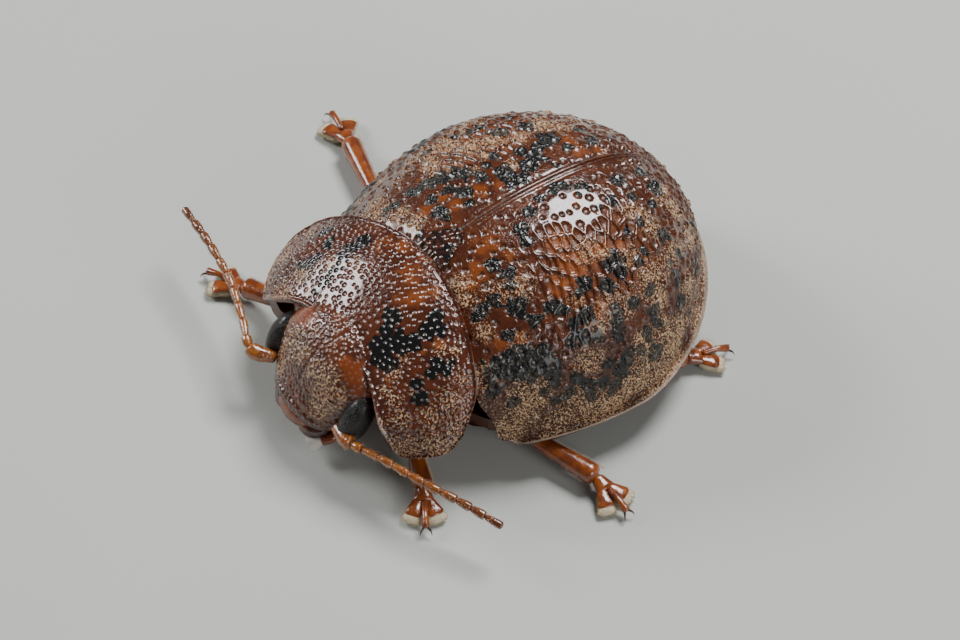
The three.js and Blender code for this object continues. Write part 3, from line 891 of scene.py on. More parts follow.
def shield_point(share, across):
    front = BASE_Y - SHIELD_LENGTH - HOLLOW * rise(np.abs(across), 0.4, 0.95)
    front = front + corner_turn(across, SHIELD_FRONT_CORNER)
    hind = BASE_Y + base_line(across) - corner_turn(across, SHIELD_CORNER)
    widening = np.sin((math.pi / 2) * share**0.83)
    half_width = SHIELD_FRONT_HALF_WIDTH + (SHIELD_HALF_WIDTH - SHIELD_FRONT_HALF_WIDTH) * widening
    foot = SHIELD_MARGIN_FRONT_Z + (SHIELD_MARGIN_Z - SHIELD_MARGIN_FRONT_Z) * share
    crest = SHIELD_FRONT_Z + (SHIELD_BASE_Z - SHIELD_FRONT_Z) * np.sin((math.pi / 2) * share)
    hind = hind + 0.05 * share
    return half_width * across, front + (hind - front) * share, foot + (crest - foot) * arch(across)


def shield_form(row, column):
    half = np.abs(2 * column - 1)
    hind, side = round_corner(
        np.clip((row - HIND_ROUND) / (1 - HIND_ROUND), 0, 1),
        np.clip((half - SIDE_ROUND) / (1 - SIDE_ROUND), 0, 1),
    )
    ahead, flank = round_corner(
        np.clip(1 - row / FRONT_ROUND, 0, 1),
        np.clip((half - FLANK_ROUND) / (1 - FLANK_ROUND), 0, 1),
    )
    is_hind, is_front = row > HIND_ROUND, row < FRONT_ROUND
    half = np.where(is_hind & (half > SIDE_ROUND), SIDE_ROUND + (1 - SIDE_ROUND) * side, half)
    half = np.where(is_front & (half > FLANK_ROUND), FLANK_ROUND + (1 - FLANK_ROUND) * flank, half)
    front_row = np.where(is_front, FRONT_ROUND * (1 - ahead), row)
    row = np.where(is_hind, HIND_ROUND + (1 - HIND_ROUND) * hind, front_row)
    half = evenly(half, lambda u: shield_point(np.full_like(u, 0.6), u))
    return shield_point(row, half * np.sign(2 * column - 1))


print("the shield is", round(2 * float(shield_point(1.0, 1.0)[0]), 2), "mm wide")

# %% [markdown]
# A broad black mark like a W shows on the near half of the shield, and a narrow one on the far
# half. They are written down as the wing cases' blotches are, in pixels.

# %% Blotches of the shield
SHIELD_BLACK = [
    (392, 316, 9), (387, 330, 9), (383, 348, 14), (378, 360, 8), (400, 342, 13), (414, 342, 10),
    (428, 330, 10), (436, 318, 9), (440, 330, 7), (390, 362, 9), (437, 365, 9), (446, 370, 6),
    (431, 372, 7), (417, 385, 7), (420, 398, 9), (452, 362, 3), (326, 230, 8), (328, 242, 8),
    (309, 262, 7), (300, 265, 5), (319, 257, 5), (363, 241, 9), (352, 247, 8), (343, 258, 8),
    (334, 270, 8), (325, 282, 7), (316, 292, 5),
]
SHIELD_WAX = [
    (300, 275, 16), (310, 290, 10), (285, 290, 14), (275, 300, 10), (330, 265, 10), (355, 262, 9),
    (395, 375, 9), (405, 360, 8), (385, 390, 8), (395, 400, 9), (400, 420, 12), (430, 420, 16),
    (450, 400, 16), (460, 380, 12), (455, 430, 14), (430, 440, 14), (400, 445, 14), (440, 350, 9),
    (455, 350, 8), (380, 425, 10), (285, 255, 14), (290, 240, 10), (310, 232, 10), (270, 280, 8),
    (412, 395, 4),
]
SHIELD_AMBER = [
    (385, 245, 12), (405, 245, 12), (425, 265, 12), (410, 275, 14), (435, 290, 10), (415, 300, 14),
    (400, 300, 10), (440, 345, 8), (390, 380, 8), (345, 350, 8), (420, 350, 5),
]
print(len(SHIELD_BLACK), "black blotches on the shield")

# %% [markdown]
# The shield's pits are small, round and all over, and its thin edge is raised like a hem. Both
# are real relief again. `edge` is the way in from the nearest edge, so the hem is a ridge at one
# distance and a furrow at the next.


# %% Shield relief
SHIELD_RUN = 2.2  # the shield laid flat
SHIELD_BREADTH = 7.6
SHIELD_HALF_BREADTH = 3.7
SHIELD_PIT_SPACING = 0.105
SHIELD_PIT_DEPTH = 0.018


def shield_relief(piece, row, column):
    points = read(piece)
    pits = scattered(laid_flat(SHIELD_RUN, SHIELD_BREADTH), SHIELD_PIT_SPACING, 9000, 5)
    near_pit, _, which = nearest_two(points, spot(*shield_form(*pits)))
    near_pit = near_pit / MM / np.random.default_rng(6).uniform(0.75, 1.25, len(pits[0]))[which]
    half = np.abs(2 * column - 1)
    edge = np.minimum(np.minimum(row, 1 - row) * SHIELD_RUN, (1 - half) * SHIELD_HALF_BREADTH)
    soft_noise, rough_noise = lumps(points, 0.7, 3), lumps(points, 0.15, 4)
    wax = 0.5 + 0.5 * reach_of(points, found_on(piece, SHIELD_WAX)) + 0.15 * soft_noise
    wax = np.maximum(wax, rise(half, 0.62, 0.95) * (0.85 + 0.4 * soft_noise))
    amber = 0.5 + 0.5 * reach_of(points, found_on(piece, SHIELD_AMBER)) + 0.3 * rough_noise
    black = reach_of(points, found_on(piece, SHIELD_BLACK)) + 0.5 * rough_noise
    for name, values in (
        ("near_pit", near_pit), ("black", black), ("wax", np.clip(wax, 0, 1)),
        ("amber", np.clip(amber, 0, 1)), ("across", half), ("edge", edge), ("outer", np.ones(len(row))),
    ):
        keep(piece, name, values)
    height = -SHIELD_PIT_DEPTH * (1 - rise(near_pit, 0.015, 0.05)) * rise(edge, 0.03, 0.08)
    height = height + 0.012 * soft_noise
    height = height + 0.02 * np.clip(rough_noise, -1, 1) * rise(half, 0.5, 0.9)
    hem = 0.03 * np.exp(-(((edge - 0.03) / 0.022) ** 2))
    furrow = 0.015 * np.exp(-(((edge - 0.09) / 0.02) ** 2))
    return height + hem - furrow


print("shield pits are", SHIELD_PIT_SPACING, "mm apart or more")

# %% [markdown]
# The shield is the same horn as the wing cases, with its own brown. Below, it is orange-red, and
# a strip of that shows over the head. Here `outer` tells the two sides apart: the outside keeps
# a 1 for each point, and the inside has none.

# %% Shield finish
shield_cuticle, start, link = finish_of("shield_cuticle", **GLOSSY_HORN)
half, edge = start.field("across"), start.field("edge")
brown = start.cloud(0.4).step(0.35, 0.7).blend(colour(0.06, 0.013, 0.005), colour(0.105, 0.024, 0.008))
amber_share = start.field("amber").step(0.35, 0.9) * start.cloud(0.25).step(0.3, 0.6)
ground = (amber_share * 0.7).blend(brown, colour(0.27, 0.07, 0.014))
black = (start.field("black") + start.cloud(0.1) * 0.4 - 0.2).step(-0.08, 0.06)
ground = (black * 0.97).blend(ground, BLACK)
wax = start.field("wax")
speck = (start.cloud(0.038, detail=1.5) + wax * 0.18).step(0.66, 0.76)
speck = speck * wax.step(0.3, 0.75) * (1 - black * 0.8)
# Pale dots in the pit middles: partly wax in the pits, partly painted glints where each pit would catch
# the light.
pit_glint_and_wax_dot = start.field("near_pit").step(0.028, 0.014)
ground = (speck * 0.9).blend(ground, CREAM)
ground = (pit_glint_and_wax_dot * 0.3).blend(ground, colour(0.5, 0.44, 0.4))
rim = edge.step(0.05, 0.02) * half.step(0.5, 0.7)
ground = (rim * 0.6).blend(ground, colour(0.45, 0.3, 0.24))
link("Base Color", start.field("outer").blend(colour(0.42, 0.07, 0.012), ground))
link("Roughness", 0.2 + speck * 0.4)
link("Coat Weight", (1 - speck) * (1 - half.step(0.6, 0.95) * 0.6))
grain = start.cloud(0.035, detail=1) * 0.3 + start.cells(0.08) * wax * 0.6
link("Normal", bumped(start, grain, 0.025))
told(shield_cuticle)
shield = plate("thorax_shield_plate", 150, 460, shield_form, HORN_THICKNESS, UP, shield_relief)
dress(shield, shield_cuticle, "shield", "thorax_shield")

# %% [markdown]
# The head hangs below the shield with its face turned down. It is one rounded capsule with a
# lower face in front. Two balls joined by a Boolean would show a seam. Here one sphere's points
# are moved out along their rays to a smooth blend of two ellipsoids, so no seam shows.


# %% Form of the head
def ball(name, centre, radii, fineness=5, tilt=0.0, turn=0.0):
    """An ellipsoid, tilted about x and then turned about z."""
    bpy.ops.object.select_all(action="DESELECT")
    bpy.ops.mesh.primitive_ico_sphere_add(subdivisions=fineness, radius=1)
    piece = bpy.context.object
    piece.name = name
    points = read(piece)
    points = points / np.linalg.norm(points, axis=1)[:, None] * np.array(radii)
    spin = Matrix.Rotation(turn, 3, "Z") @ Matrix.Rotation(tilt, 3, "X")
    points = points @ np.array(spin).T + np.array(centre)
    write(piece, spot(*points.T))
    smooth(piece)
    return piece


HEAD_TILT = -0.5
HEAD = (0, -3.42, 1.45)
HEAD_RADII = (1.28, 0.75, 1.15)
FACE = (0, -4.02, 1.0)
FACE_RADII = (0.85, 0.36, 0.5)
FACE_BULGE = 0.45  # how strongly the lower face stands out of the capsule
BLEND = 0.06


def ellipsoid_share(points, centre, radii, tilt):
    """How far out places lie in an ellipsoid: 0 at its centre and 1 on its skin."""
    offset = points - np.array(centre)
    cosine, sine = math.cos(tilt), math.sin(tilt)
    y = offset[:, 1] * cosine + offset[:, 2] * sine
    z = -offset[:, 1] * sine + offset[:, 2] * cosine
    return np.sqrt((offset[:, 0] / radii[0]) ** 2 + (y / radii[1]) ** 2 + (z / radii[2]) ** 2)


def head_skin(ways):
    """Moves out from the head's centre to where the blend of both ellipsoids ends."""
    near_end, far_end = np.zeros(len(ways)), np.full(len(ways), 2.5)
    for _ in range(30):
        middle = (near_end + far_end) / 2
        points = np.array(HEAD) + ways * middle[:, None]
        capsule = ellipsoid_share(points, HEAD, HEAD_RADII, HEAD_TILT)
        face = ellipsoid_share(points, FACE, FACE_RADII, HEAD_TILT)
        inside = np.exp(-(capsule - 1) / BLEND) + np.exp(-(face - 1) * FACE_BULGE / BLEND) > 1
        near_end = np.where(inside, middle, near_end)
        far_end = np.where(inside, far_end, middle)
    return np.array(HEAD) + ways * near_end[:, None]


head = ball("head_capsule", (0, 0, 0), (1, 1, 1), fineness=7)
skin = head_skin((read(head) - SHIFT) / MM)
write(head, spot(*skin.T))
print("the head reaches from", skin.min(axis=0).round(2), "to", skin.max(axis=0).round(2))

# %% [markdown]
# The face is pitted too. A spiral from pole to pole spreads its pits evenly over the round head,
# and a little noise hides the spiral. A groove runs down the forehead, and a step below it parts
# the lower face. The colours are the same on both sides, so they are written down for one.


# %% Head relief
HEAD_PITS = 1500
GROOVE_WIDTH = 0.035
BROW_Z = 1.1


def both(spots):
    """Spots on the left side, and the same on the right."""
    return spots + [(-x, y, z, radius) for x, y, z, radius in spots]


HEAD_WAX = both([
    (0.68, -4.04, 1.59, 0.42), (0.3, -4.02, 1.88, 0.3),
    (0.55, -3.85, 2.0, 0.25), (0.6, -4.15, 1.3, 0.25),
])
HEAD_AMBER = both([
    (0.85, -3.54, 2.12, 0.3), (0.62, -3.6, 2.22, 0.2),
    (0.95, -3.42, 1.8, 0.35), (1.15, -3.4, 1.35, 0.4),
])

turns = np.arange(HEAD_PITS) * math.pi * (3 - math.sqrt(5))
drops = 1 - 2 * (np.arange(HEAD_PITS) + 0.5) / HEAD_PITS
reach = np.sqrt(1 - drops**2)
spiral = np.stack([np.cos(turns) * reach, np.sin(turns) * reach, drops], axis=1)
spiral += np.random.default_rng(4).normal(0, 0.022, spiral.shape)
spiral /= np.linalg.norm(spiral, axis=1)[:, None]
head_points, head_ways = read(head), normals(head)
near_pit = nearest_two(head_points, spot(*head_skin(spiral).T))[0] / MM
amber_share = np.clip(0.5 + 0.5 * reach_of(head_points, HEAD_AMBER), 0, 1)
wax_share = 0.5 + 0.5 * reach_of(head_points, HEAD_WAX) + 0.2 * lumps(head_points, 0.4, 7)
front = rise(-skin[:, 1], 3.5, 3.9)
groove = np.exp(-((skin[:, 0] / GROOVE_WIDTH) ** 2)) * rise(skin[:, 2], 1.1, 1.7) * front
level_z = skin[:, 2] + 0.25 * skin[:, 0] ** 2
lower_face = (1 - rise(level_z, 1.02, BROW_Z)) * front
brow = np.exp(-(((level_z - BROW_Z) / 0.05) ** 2)) * front
height = -0.022 * (1 - rise(near_pit, 0.01, 0.05)) * (1 - rise(amber_share, 0.5, 0.8))
height = height - 0.03 * groove - 0.04 * brow + 0.02 * lumps(head_points, 0.45, 12)
write(head, head_points + head_ways * (height * MM)[:, None])
for name, values in (
    ("near_pit", near_pit), ("amber", amber_share), ("wax", np.clip(wax_share, 0, 1)),
    ("lower", lower_face), ("front", front),
):
    keep(head, name, values)
print("the deepest dent is", round(-height.min(), 3), "mm deep")

# %% [markdown]
# Behind the eyes and on the crown the head is smooth, clear amber. The forehead is browner, with
# dust between its pits. The coat is weaker in front, because wax dims it there.

# %% Head finish
head_cuticle, start, link = finish_of("head_cuticle", roughness=0.2, coat=1.0, coat_roughness=0.07)
amber_part = start.field("amber").step(0.45, 0.75)
brown = start.cloud(0.3).step(0.35, 0.7).blend(colour(0.075, 0.017, 0.007), colour(0.14, 0.036, 0.012))
ground = (amber_part * 0.85).blend(brown, colour(0.23, 0.05, 0.01))
ground = (start.field("lower") * 0.7).blend(ground, colour(0.07, 0.022, 0.01))
wax = start.field("wax").step(0.3, 0.7)
speck = (start.cloud(0.05, detail=1.5) + wax * 0.16).step(0.66, 0.76) * wax * (1 - amber_part)
# Pale dots in the pit middles: partly wax in the pits, partly painted glints where each pit would catch
# the light.
pit_glint_and_wax_dot = start.field("near_pit").step(0.034, 0.014) * (1 - amber_part * 0.6)
ground = (speck * 0.85).blend(ground, CREAM)
link("Base Color", (pit_glint_and_wax_dot * 0.25).blend(ground, colour(0.5, 0.42, 0.36)))
link("Coat Weight", (1 - speck) * (1 - start.field("front") * 0.5))
grain = start.cloud(0.035, detail=1) * 0.4 + start.cells(0.08) * wax * 0.6
link("Normal", bumped(start, grain, 0.025))
told(head_cuticle)
dress(head, head_cuticle, "head", "head")

# %% [markdown]
# The eyes are upright ovals of many small lenses, so dark that only the rows of lenses near the
# highlight show. One eye is an ellipsoid, and Voronoi cells of a lens's size dimple its skin. The
# other eye is its mirror image, and a mirror turns faces inwards, so `mirrored` flips them back.


# %% Eyes
def mirrored(piece, name):
    """A copy with its own mesh, on the other side of the midline."""
    twin = piece.copy()
    twin.data = piece.data.copy()
    twin.name = name
    bpy.context.collection.objects.link(twin)
    points = read(twin)
    points[:, 0] = 2 * MIDLINE - points[:, 0]
    write(twin, points)
    edited(twin, bpy.ops.mesh.flip_normals)
    return twin


EYE = (1.18, -3.72, 1.28)
EYE_RADII = (0.27, 0.32, 0.55)

eye_lens, start, link = finish_of("eye_lens", roughness=0.32)
facet = start.cells(0.027).step(0.15, 0.55)
link("Base Color", facet.blend(colour(0.035, 0.032, 0.03), colour(0.006, 0.005, 0.005)))
link("Normal", bumped(start, 1 - facet, 0.008))
told(eye_lens)
eye = ball("eye_left_lens", EYE, EYE_RADII, fineness=6, tilt=HEAD_TILT)
dress(eye, eye_lens, "eye", "eye_left")
dress(mirrored(eye, "eye_right_lens"), eye_lens, "eye", "eye_right")

# %% [markdown]
# Legs, feelers and palps are round bars that bend and swell. A curve with a bevel would keep one
# thickness and have flat ends. `tube` rolls a sheet round a smooth line instead, with a half width
# and a half depth for each share of the way, and `rounded` draws both down to nothing at the
# ends, so the bar closes like a dome.


# %% Bars along a line
def spline(points, shares):
    """A smooth line through the points."""
    points = np.array(points, dtype=float)
    gaps = np.linalg.norm(np.diff(points, axis=0), axis=1)
    knots = np.concatenate([[0], np.cumsum(gaps)]) / gaps.sum()
    slopes = np.gradient(points, knots, axis=0)
    index = np.clip(np.searchsorted(knots, shares, side="right") - 1, 0, len(points) - 2)
    width = knots[index + 1] - knots[index]
    t = (shares - knots[index]) / width
    t, width = t[:, None], width[:, None]
    leaving = points[index] * (2 * t**3 - 3 * t**2 + 1) + slopes[index] * width * (t**3 - 2 * t**2 + t)
    nearing = points[index + 1] * (3 * t**2 - 2 * t**3) + slopes[index + 1] * width * (t**3 - t**2)
    return leaving + nearing


def course(points, shares):
    """Which way that line runs, with length 1."""
    along = spline(points, np.clip(shares + 0.01, 0, 1)) - spline(points, np.clip(shares - 0.01, 0, 1))
    return along / np.linalg.norm(along, axis=1)[:, None]


def seam_closed():
    bpy.ops.mesh.remove_doubles(threshold=2e-7)


def tube(name, points, rows, columns, width, depth=None):
    """A closed round bar along a line. width and depth give its half sizes at a share."""
    depth = depth or width

    def form(row, column):
        middle = spline(points, row)
        along = course(points, row)
        side = np.cross(along, [0.0, 0.0, 1.0])
        side = side / np.linalg.norm(side, axis=1)[:, None]
        top = np.cross(side, along)
        angle = 2 * math.pi * column
        sideways = side * (width(row) * np.cos(angle))[:, None]
        return tuple((middle + sideways + top * (depth(row) * np.sin(angle))[:, None]).T)

    piece, row, _ = sheet(name, rows, columns, form)
    keep(piece, "along", row)
    edited(piece, seam_closed, outward)
    smooth(piece)
    return piece


def rounded(share, start=0.1, end=0.1):
    """1 along a bar, and down to 0 at its ends like a dome."""
    ahead = np.clip(share / start, 0, 1)
    behind = np.clip((1 - share) / end, 0, 1)
    return np.sqrt((1 - (1 - ahead) ** 2) * (1 - (1 - behind) ** 2))


print("half way along, a bar is", rounded(0.5), "of its width")

# %% [markdown]
# Hairs are there in hundreds, so each is the simplest body that still looks round when small: a
# three-sided cone. One cone primitive is made, and its points are copied to every root.


# %% Hairs
def hairs(name, roots, ways, lengths, width):
    """Slim three-sided spikes in one mesh, one for each root. Places and sizes in millimetres."""
    bpy.ops.object.select_all(action="DESELECT")
    bpy.ops.mesh.primitive_cone_add(vertices=3, radius1=width, radius2=0, depth=1, location=(0, 0, 0))
    piece = bpy.context.object
    piece.name = name
    spike = read(piece) + np.array((0, 0, 0.5))
    faces = [list(face.vertices) for face in piece.data.polygons]
    places, corners = [], []
    for root, way, length in zip(roots, ways, lengths):
        spin = np.array(Vector(way).to_track_quat("Z", "Y").to_matrix())
        corners += [[index + len(spike) * len(places) for index in face] for face in faces]
        places.append(spike * np.array((1, 1, length)) @ spin.T + np.array(root))
    piece.data.clear_geometry()
    piece.data.from_pydata(spot(*np.concatenate(places).T).tolist(), [], corners)
    return piece


# %% [markdown]
# Four finishes serve the mouth, the feelers and the legs: amber horn, dark jaw horn, pale
# bristle, and the pale skin of the palps' tips.

# %% Finishes of the small parts
amber, start, link = finish_of("amber_cuticle", roughness=0.2, coat=0.8, coat_roughness=0.08)
tint = start.cloud(0.25).step(0.35, 0.65).blend(colour(0.16, 0.032, 0.007), colour(0.30, 0.072, 0.012))
link("Base Color", tint)
link("Normal", bumped(start, start.cloud(0.06), 0.012))
jaw_horn, start, link = finish_of("jaw_horn", roughness=0.2, coat=0.8)
tint = start.cloud(0.3).step(0.4, 0.6).blend(colour(0.012, 0.006, 0.005), colour(0.1, 0.02, 0.008))
link("Base Color", tint)
bristle, start, link = finish_of("pale_bristle", roughness=0.35)
link("Base Color", start.cloud(0.2).blend(colour(0.6, 0.42, 0.24), colour(0.75, 0.6, 0.42)))
pale, start, link = finish_of("pale_joint", roughness=0.35, coat=0.3)
link("Base Color", start.cloud(0.15).blend(colour(0.5, 0.42, 0.36), colour(0.72, 0.68, 0.62)))
for material in (amber, jaw_horn, bristle, pale):
    told(material)

# %% [markdown]
# The mouth is small. An amber lip with long bristles covers a pair of dark, blunt jaws, and on
# each side a short feeler, the palp, ends in a pale, wide joint.


# %% Mouth
LIP = (0, -4.26, 0.72)
JAW = (0.38, -4.05, 0.56)
PALP = [(0.62, -3.75, 0.6), (0.78, -3.95, 0.48), (0.68, -4.15, 0.42)]
PALP_TIPS = {
    "left": [(0.7, -4.1, 0.44), (0.58, -4.36, 0.33)],
    "right": [(-0.68, -4.05, 0.42), (-0.45, -4.15, 0.3)],
}
LIP_BRISTLES = 10


def palp_tip_width(share):
    return rounded(share, 0.3, 0.1) * (0.1 + 0.07 * share)


dress(ball("lip_plate", LIP, (0.45, 0.2, 0.25), 5, HEAD_TILT), amber, "mouth", "upper_lip")
jaw = ball("jaw_left_blade", JAW, (0.34, 0.34, 0.27), 5)
dress(jaw, jaw_horn, "mouth", "jaw_left")
dress(mirrored(jaw, "jaw_right_blade"), jaw_horn, "mouth", "jaw_right")
palp = tube("palp_left_stalk", PALP, 40, 20, lambda s: 0.1 * rounded(s) * (0.8 + 0.4 * s))
dress(palp, amber, "palp", "palp_left")
dress(mirrored(palp, "palp_right_stalk"), amber, "palp", "palp_right")
for side, line in PALP_TIPS.items():
    tip = tube(f"palp_{side}_tip", line, 24, 20, palp_tip_width)
    dress(tip, pale, "palp", f"palp_{side}")
shares = np.linspace(-1, 1, LIP_BRISTLES)
roots = [(0.42 * share, -4.38 + 0.12 * share**2, 0.62) for share in shares]
ways = [(0.5 * share, -0.7, -0.75) for share in shares]
lip_bristles = hairs("lip_bristles", roots, ways, [0.26, 0.32] * (LIP_BRISTLES // 2), 0.007)
dress(lip_bristles, bristle, "mouth", "upper_lip")

# %% [markdown]
# Each feeler is a string of eleven joints: a stout first joint, a small second one, and nine slim
# ones that widen a little towards their ends. Eleven pieces would have to be fitted to each other
# at every bend, so the radius of one tube follows that rhythm. Fine bristles lean forward on it.

# %% Feelers
LEFT_FEELER = [
    (0.95, -4.02, 1.05), (1.38, -4.03, 1.05), (2.02, -3.8, 1.1),
    (2.9, -3.47, 1.1), (3.63, -3.09, 1.0), (4.46, -2.72, 0.9),
]
RIGHT_FEELER = [
    (-0.92, -4.05, 1.1), (-1.25, -4.36, 1.18), (-1.92, -4.15, 1.25),
    (-2.69, -3.88, 1.3), (-3.72, -3.69, 1.32), (-4.74, -3.6, 1.3),
]
JOINT_ENDS = np.array([0, 0.14, 0.2, 0.29, 0.38, 0.47, 0.56, 0.65, 0.74, 0.82, 0.9, 1.0])
FEELER_BRISTLES = 420
JOINT_WIDTHS = np.array([0.155, 0.1, 0.08, 0.08, 0.08, 0.082, 0.084, 0.086, 0.088, 0.088, 0.078])


def feeler_width(share):
    joint = np.clip(np.searchsorted(JOINT_ENDS, share, side="right") - 1, 0, 10)
    part = (share - JOINT_ENDS[joint]) / (JOINT_ENDS[joint + 1] - JOINT_ENDS[joint])
    swelling = 0.72 + 0.28 * rise(part, 0.0, 0.65)
    neck = 0.35 + 0.65 * rounded(part, 0.1, 0.12)
    return JOINT_WIDTHS[joint] * swelling * neck * rounded(share, 0.01, 0.01)


feeler_horn, start, link = finish_of("feeler_horn", roughness=0.2, coat=1.0, coat_roughness=0.08)
tint = start.field("along").step(0.3, 1.0).blend(colour(0.36, 0.11, 0.015), colour(0.1, 0.024, 0.008))
link("Base Color", start.cloud(0.12).step(0.4, 0.7).blend(tint, colour(0.2, 0.05, 0.01)))
link("Normal", bumped(start, start.cells(0.05), 0.008))
told(feeler_horn)
for side, line in (("left", LEFT_FEELER), ("right", RIGHT_FEELER)):
    feeler = tube(f"antenna_{side}_beads", line, 330, 20, feeler_width)
    nodes = [f"antenna_{side}_{part}" for part in ("scape", "flagellum_base", "flagellum_tip")]
    dress(feeler, feeler_horn, "antenna", *nodes)
    dice = np.random.default_rng(21)
    shares = dice.uniform(0.02, 0.98, FEELER_BRISTLES)
    along = course(line, shares)
    out = np.cross(along, dice.normal(0, 1, (FEELER_BRISTLES, 3)))
    out = out / np.linalg.norm(out, axis=1)[:, None]
    roots = spline(line, shares) + out * (feeler_width(shares) * 0.9)[:, None]
    lengths = np.full(FEELER_BRISTLES, 0.075)
    bristles = hairs(f"antenna_{side}_bristles", roots, out * 0.6 + along, lengths, 0.005)
    dress(bristles, bristle, "antenna", *nodes)

# %% [markdown]
# A foot is the beetle's best grip: a small swollen joint, a wide one split into two lobes with
# pads of pale hair below them, and between the lobes a slim joint with two claws. All six feet are
# alike, so one is modelled at the origin, pointing along x, as a pattern to copy.


# %% One foot as a pattern
SOLE_HAIRS = 900  # tries for each lobe


def fan(start, end):
    """How wide a lobe is along its length: it widens to its end, which is rounded."""
    return lambda share: rounded(share, 0.25, 0.22) * (start + end * share)


def low(depth):
    return lambda share: rounded(share, 0.3, 0.4) * depth


joint = tube(
    "joint", [(-0.08, 0, 0.3), (0.1, 0, 0.25), (0.3, 0, 0.22)], 30, 24,
    lambda s: rounded(s, 0.3, 0.2) * (0.11 + 0.11 * s), lambda s: rounded(s, 0.3, 0.3) * 0.11,
)
lobes, pads, roots, ways = [], [], [], []
dice = np.random.default_rng(31)
for sign in (1, -1):
    top = [(0.16, 0.06 * sign, 0.24), (0.57, 0.24 * sign, 0.18)]
    sole = [(0.2, 0.08 * sign, 0.12), (0.66, 0.28 * sign, 0.1)]
    lobes.append(tube("lobe", top, 30, 28, fan(0.08, 0.1), low(0.06)))
    pads.append(tube("pad", sole, 30, 28, fan(0.09, 0.11), low(0.1)))
    pad_points, pad_ways = (read(pads[-1]) - SHIFT) / MM, normals(pads[-1])
    for index in dice.integers(0, len(pad_points), SOLE_HAIRS):
        if pad_points[index][2] > 0.02:
            lean = (0.9, 0.35 * sign, -0.2) + dice.normal(0, 0.12, 3)
            roots.append(pad_points[index] - pad_ways[index] * 0.01)
            ways.append(pad_ways[index] * (1, 1, 0.4) + lean)
sole_hairs = hairs("sole_hairs", roots, ways, np.full(len(roots), 0.06), 0.006)
claw_joint = tube(
    "claw_joint", [(0.3, 0, 0.27), (0.6, 0, 0.27), (0.86, 0, 0.18)], 30, 16,
    lambda s: rounded(s, 0.1, 0.1) * (0.05 + 0.035 * s**2),
)
claw_lines = [[(0.82, y * 0.4, 0.18), (0.9, y, 0.15), (0.94, y * 1.3, 0.04)] for y in (0.09, -0.09)]
claws = [tube("claw", line, 20, 10, lambda s: 0.028 * (1.02 - s)) for line in claw_lines]
print(len(roots), "hairs on one sole")

# %% [markdown]
# The parts of the foot are joined by finish: horn, claws, and pads with their hair. The joined
# parts are moved to the world's origin, so that a leg can later place a copy with one matrix.


# %% The foot's parts joined by finish
cream, start, link = finish_of("cream_hair", roughness=0.55)
link("Base Color", start.cloud(0.05).blend(colour(0.62, 0.5, 0.32), colour(0.82, 0.74, 0.56)))
link("Normal", bumped(start, start.cloud(0.025), 0.015))
claw_horn, start, link = finish_of("claw_horn", roughness=0.3)
link("Base Color", start.cloud(0.1).blend(colour(0.03, 0.012, 0.006), colour(0.06, 0.02, 0.01)))


def together(name, pieces, material):
    """Joins pieces into one at the origin and gives it its finish."""
    bpy.ops.object.select_all(action="DESELECT")
    for piece in pieces:
        piece.select_set(True)
    whole = pieces[0]
    bpy.context.view_layer.objects.active = whole
    bpy.ops.object.join()
    whole.name = name
    write(whole, read(whole) - SHIFT)
    whole.data.materials.append(material)
    print(name, len(whole.data.polygons), "faces")
    return whole


FOOT_PARTS = [
    together("foot_pattern_lobes", [joint, *lobes, claw_joint], amber),
    together("foot_pattern_claws", claws, claw_horn),
    together("foot_pattern_pads", [*pads, sole_hairs], cream),
]

# %% [markdown]
# The legs are short and strong, and mostly tucked below the dome. What shows is the shin, with a
# fringe of hair along its hind edge, and the foot. Each leg is given by its root, its knee, its
# ankle and the way that the foot points, so one function makes all six.


# %% Legs
LEG_PLACES = {
    "front_left": ((0.8, -2.6, 0.66), (1.9, -2.9, 0.62), (2.55, -3.15, 0.32), -0.53),
    "front_right": ((-0.8, -2.6, 0.66), (-2.05, -2.85, 0.62), (-3.2, -3.25, 0.32), math.pi + 0.38),
    "mid_left": ((1.0, -0.75, 0.6), (2.6, -0.95, 0.48), (4.15, -0.33, 0.32), 0.07),
    "mid_right": ((-1.0, -0.75, 0.6), (-3.15, -0.1, 0.48), (-5.15, 0.45, 0.32), math.pi - 0.2),
    "hind_left": ((1.05, 0.75, 0.6), (2.3, 1.5, 0.48), (2.75, 2.75, 0.32), 1.36),
    "hind_right": ((-1.05, 0.75, 0.6), (-2.3, 1.55, 0.48), (-2.8, 2.75, 0.32), math.pi - 1.05),
}
FRINGE_HAIRS = 90


def shin_fringe(name, knee, ankle, along, side):
    dice = np.random.default_rng(41)
    shares = dice.uniform(0.35, 1.0, FRINGE_HAIRS)[:, None]
    sway = dice.normal(0, 0.25, (FRINGE_HAIRS, 3))
    roots = knee + (ankle - knee) * shares + (side * 0.8 + (0, 0, 0.5)) * (0.12 + 0.08 * shares)
    lengths = np.full(FRINGE_HAIRS, 0.11)
    return hairs(f"shin_{name}_fringe", roots, side + along + sway, lengths, 0.006)


def foot(name, ankle, turn):
    place = Matrix.Translation(near(ankle[0], ankle[1], 0)) @ Matrix.Rotation(turn, 4, "Z")
    for part in FOOT_PARTS:
        copy = part.copy()
        copy.data = part.data.copy()
        copy.name = part.name.replace("pattern", name)
        bpy.context.collection.objects.link(copy)
        copy.data.transform(place)
        dress(copy, part.data.materials[0], "foot", f"foot_{name}")


def thigh_width(share):
    return rounded(share, 0.2, 0.14) * (0.2 + 0.1 * np.sin(3 * share))


def shin_width(share):
    return rounded(share, 0.1, 0.1) * (0.13 + 0.09 * share)


def tuft_width(share):
    """A row of about eleven small pale tufts."""
    return rounded(share, 0.1, 0.1) * (0.035 + 0.008 * np.sin(70 * share))


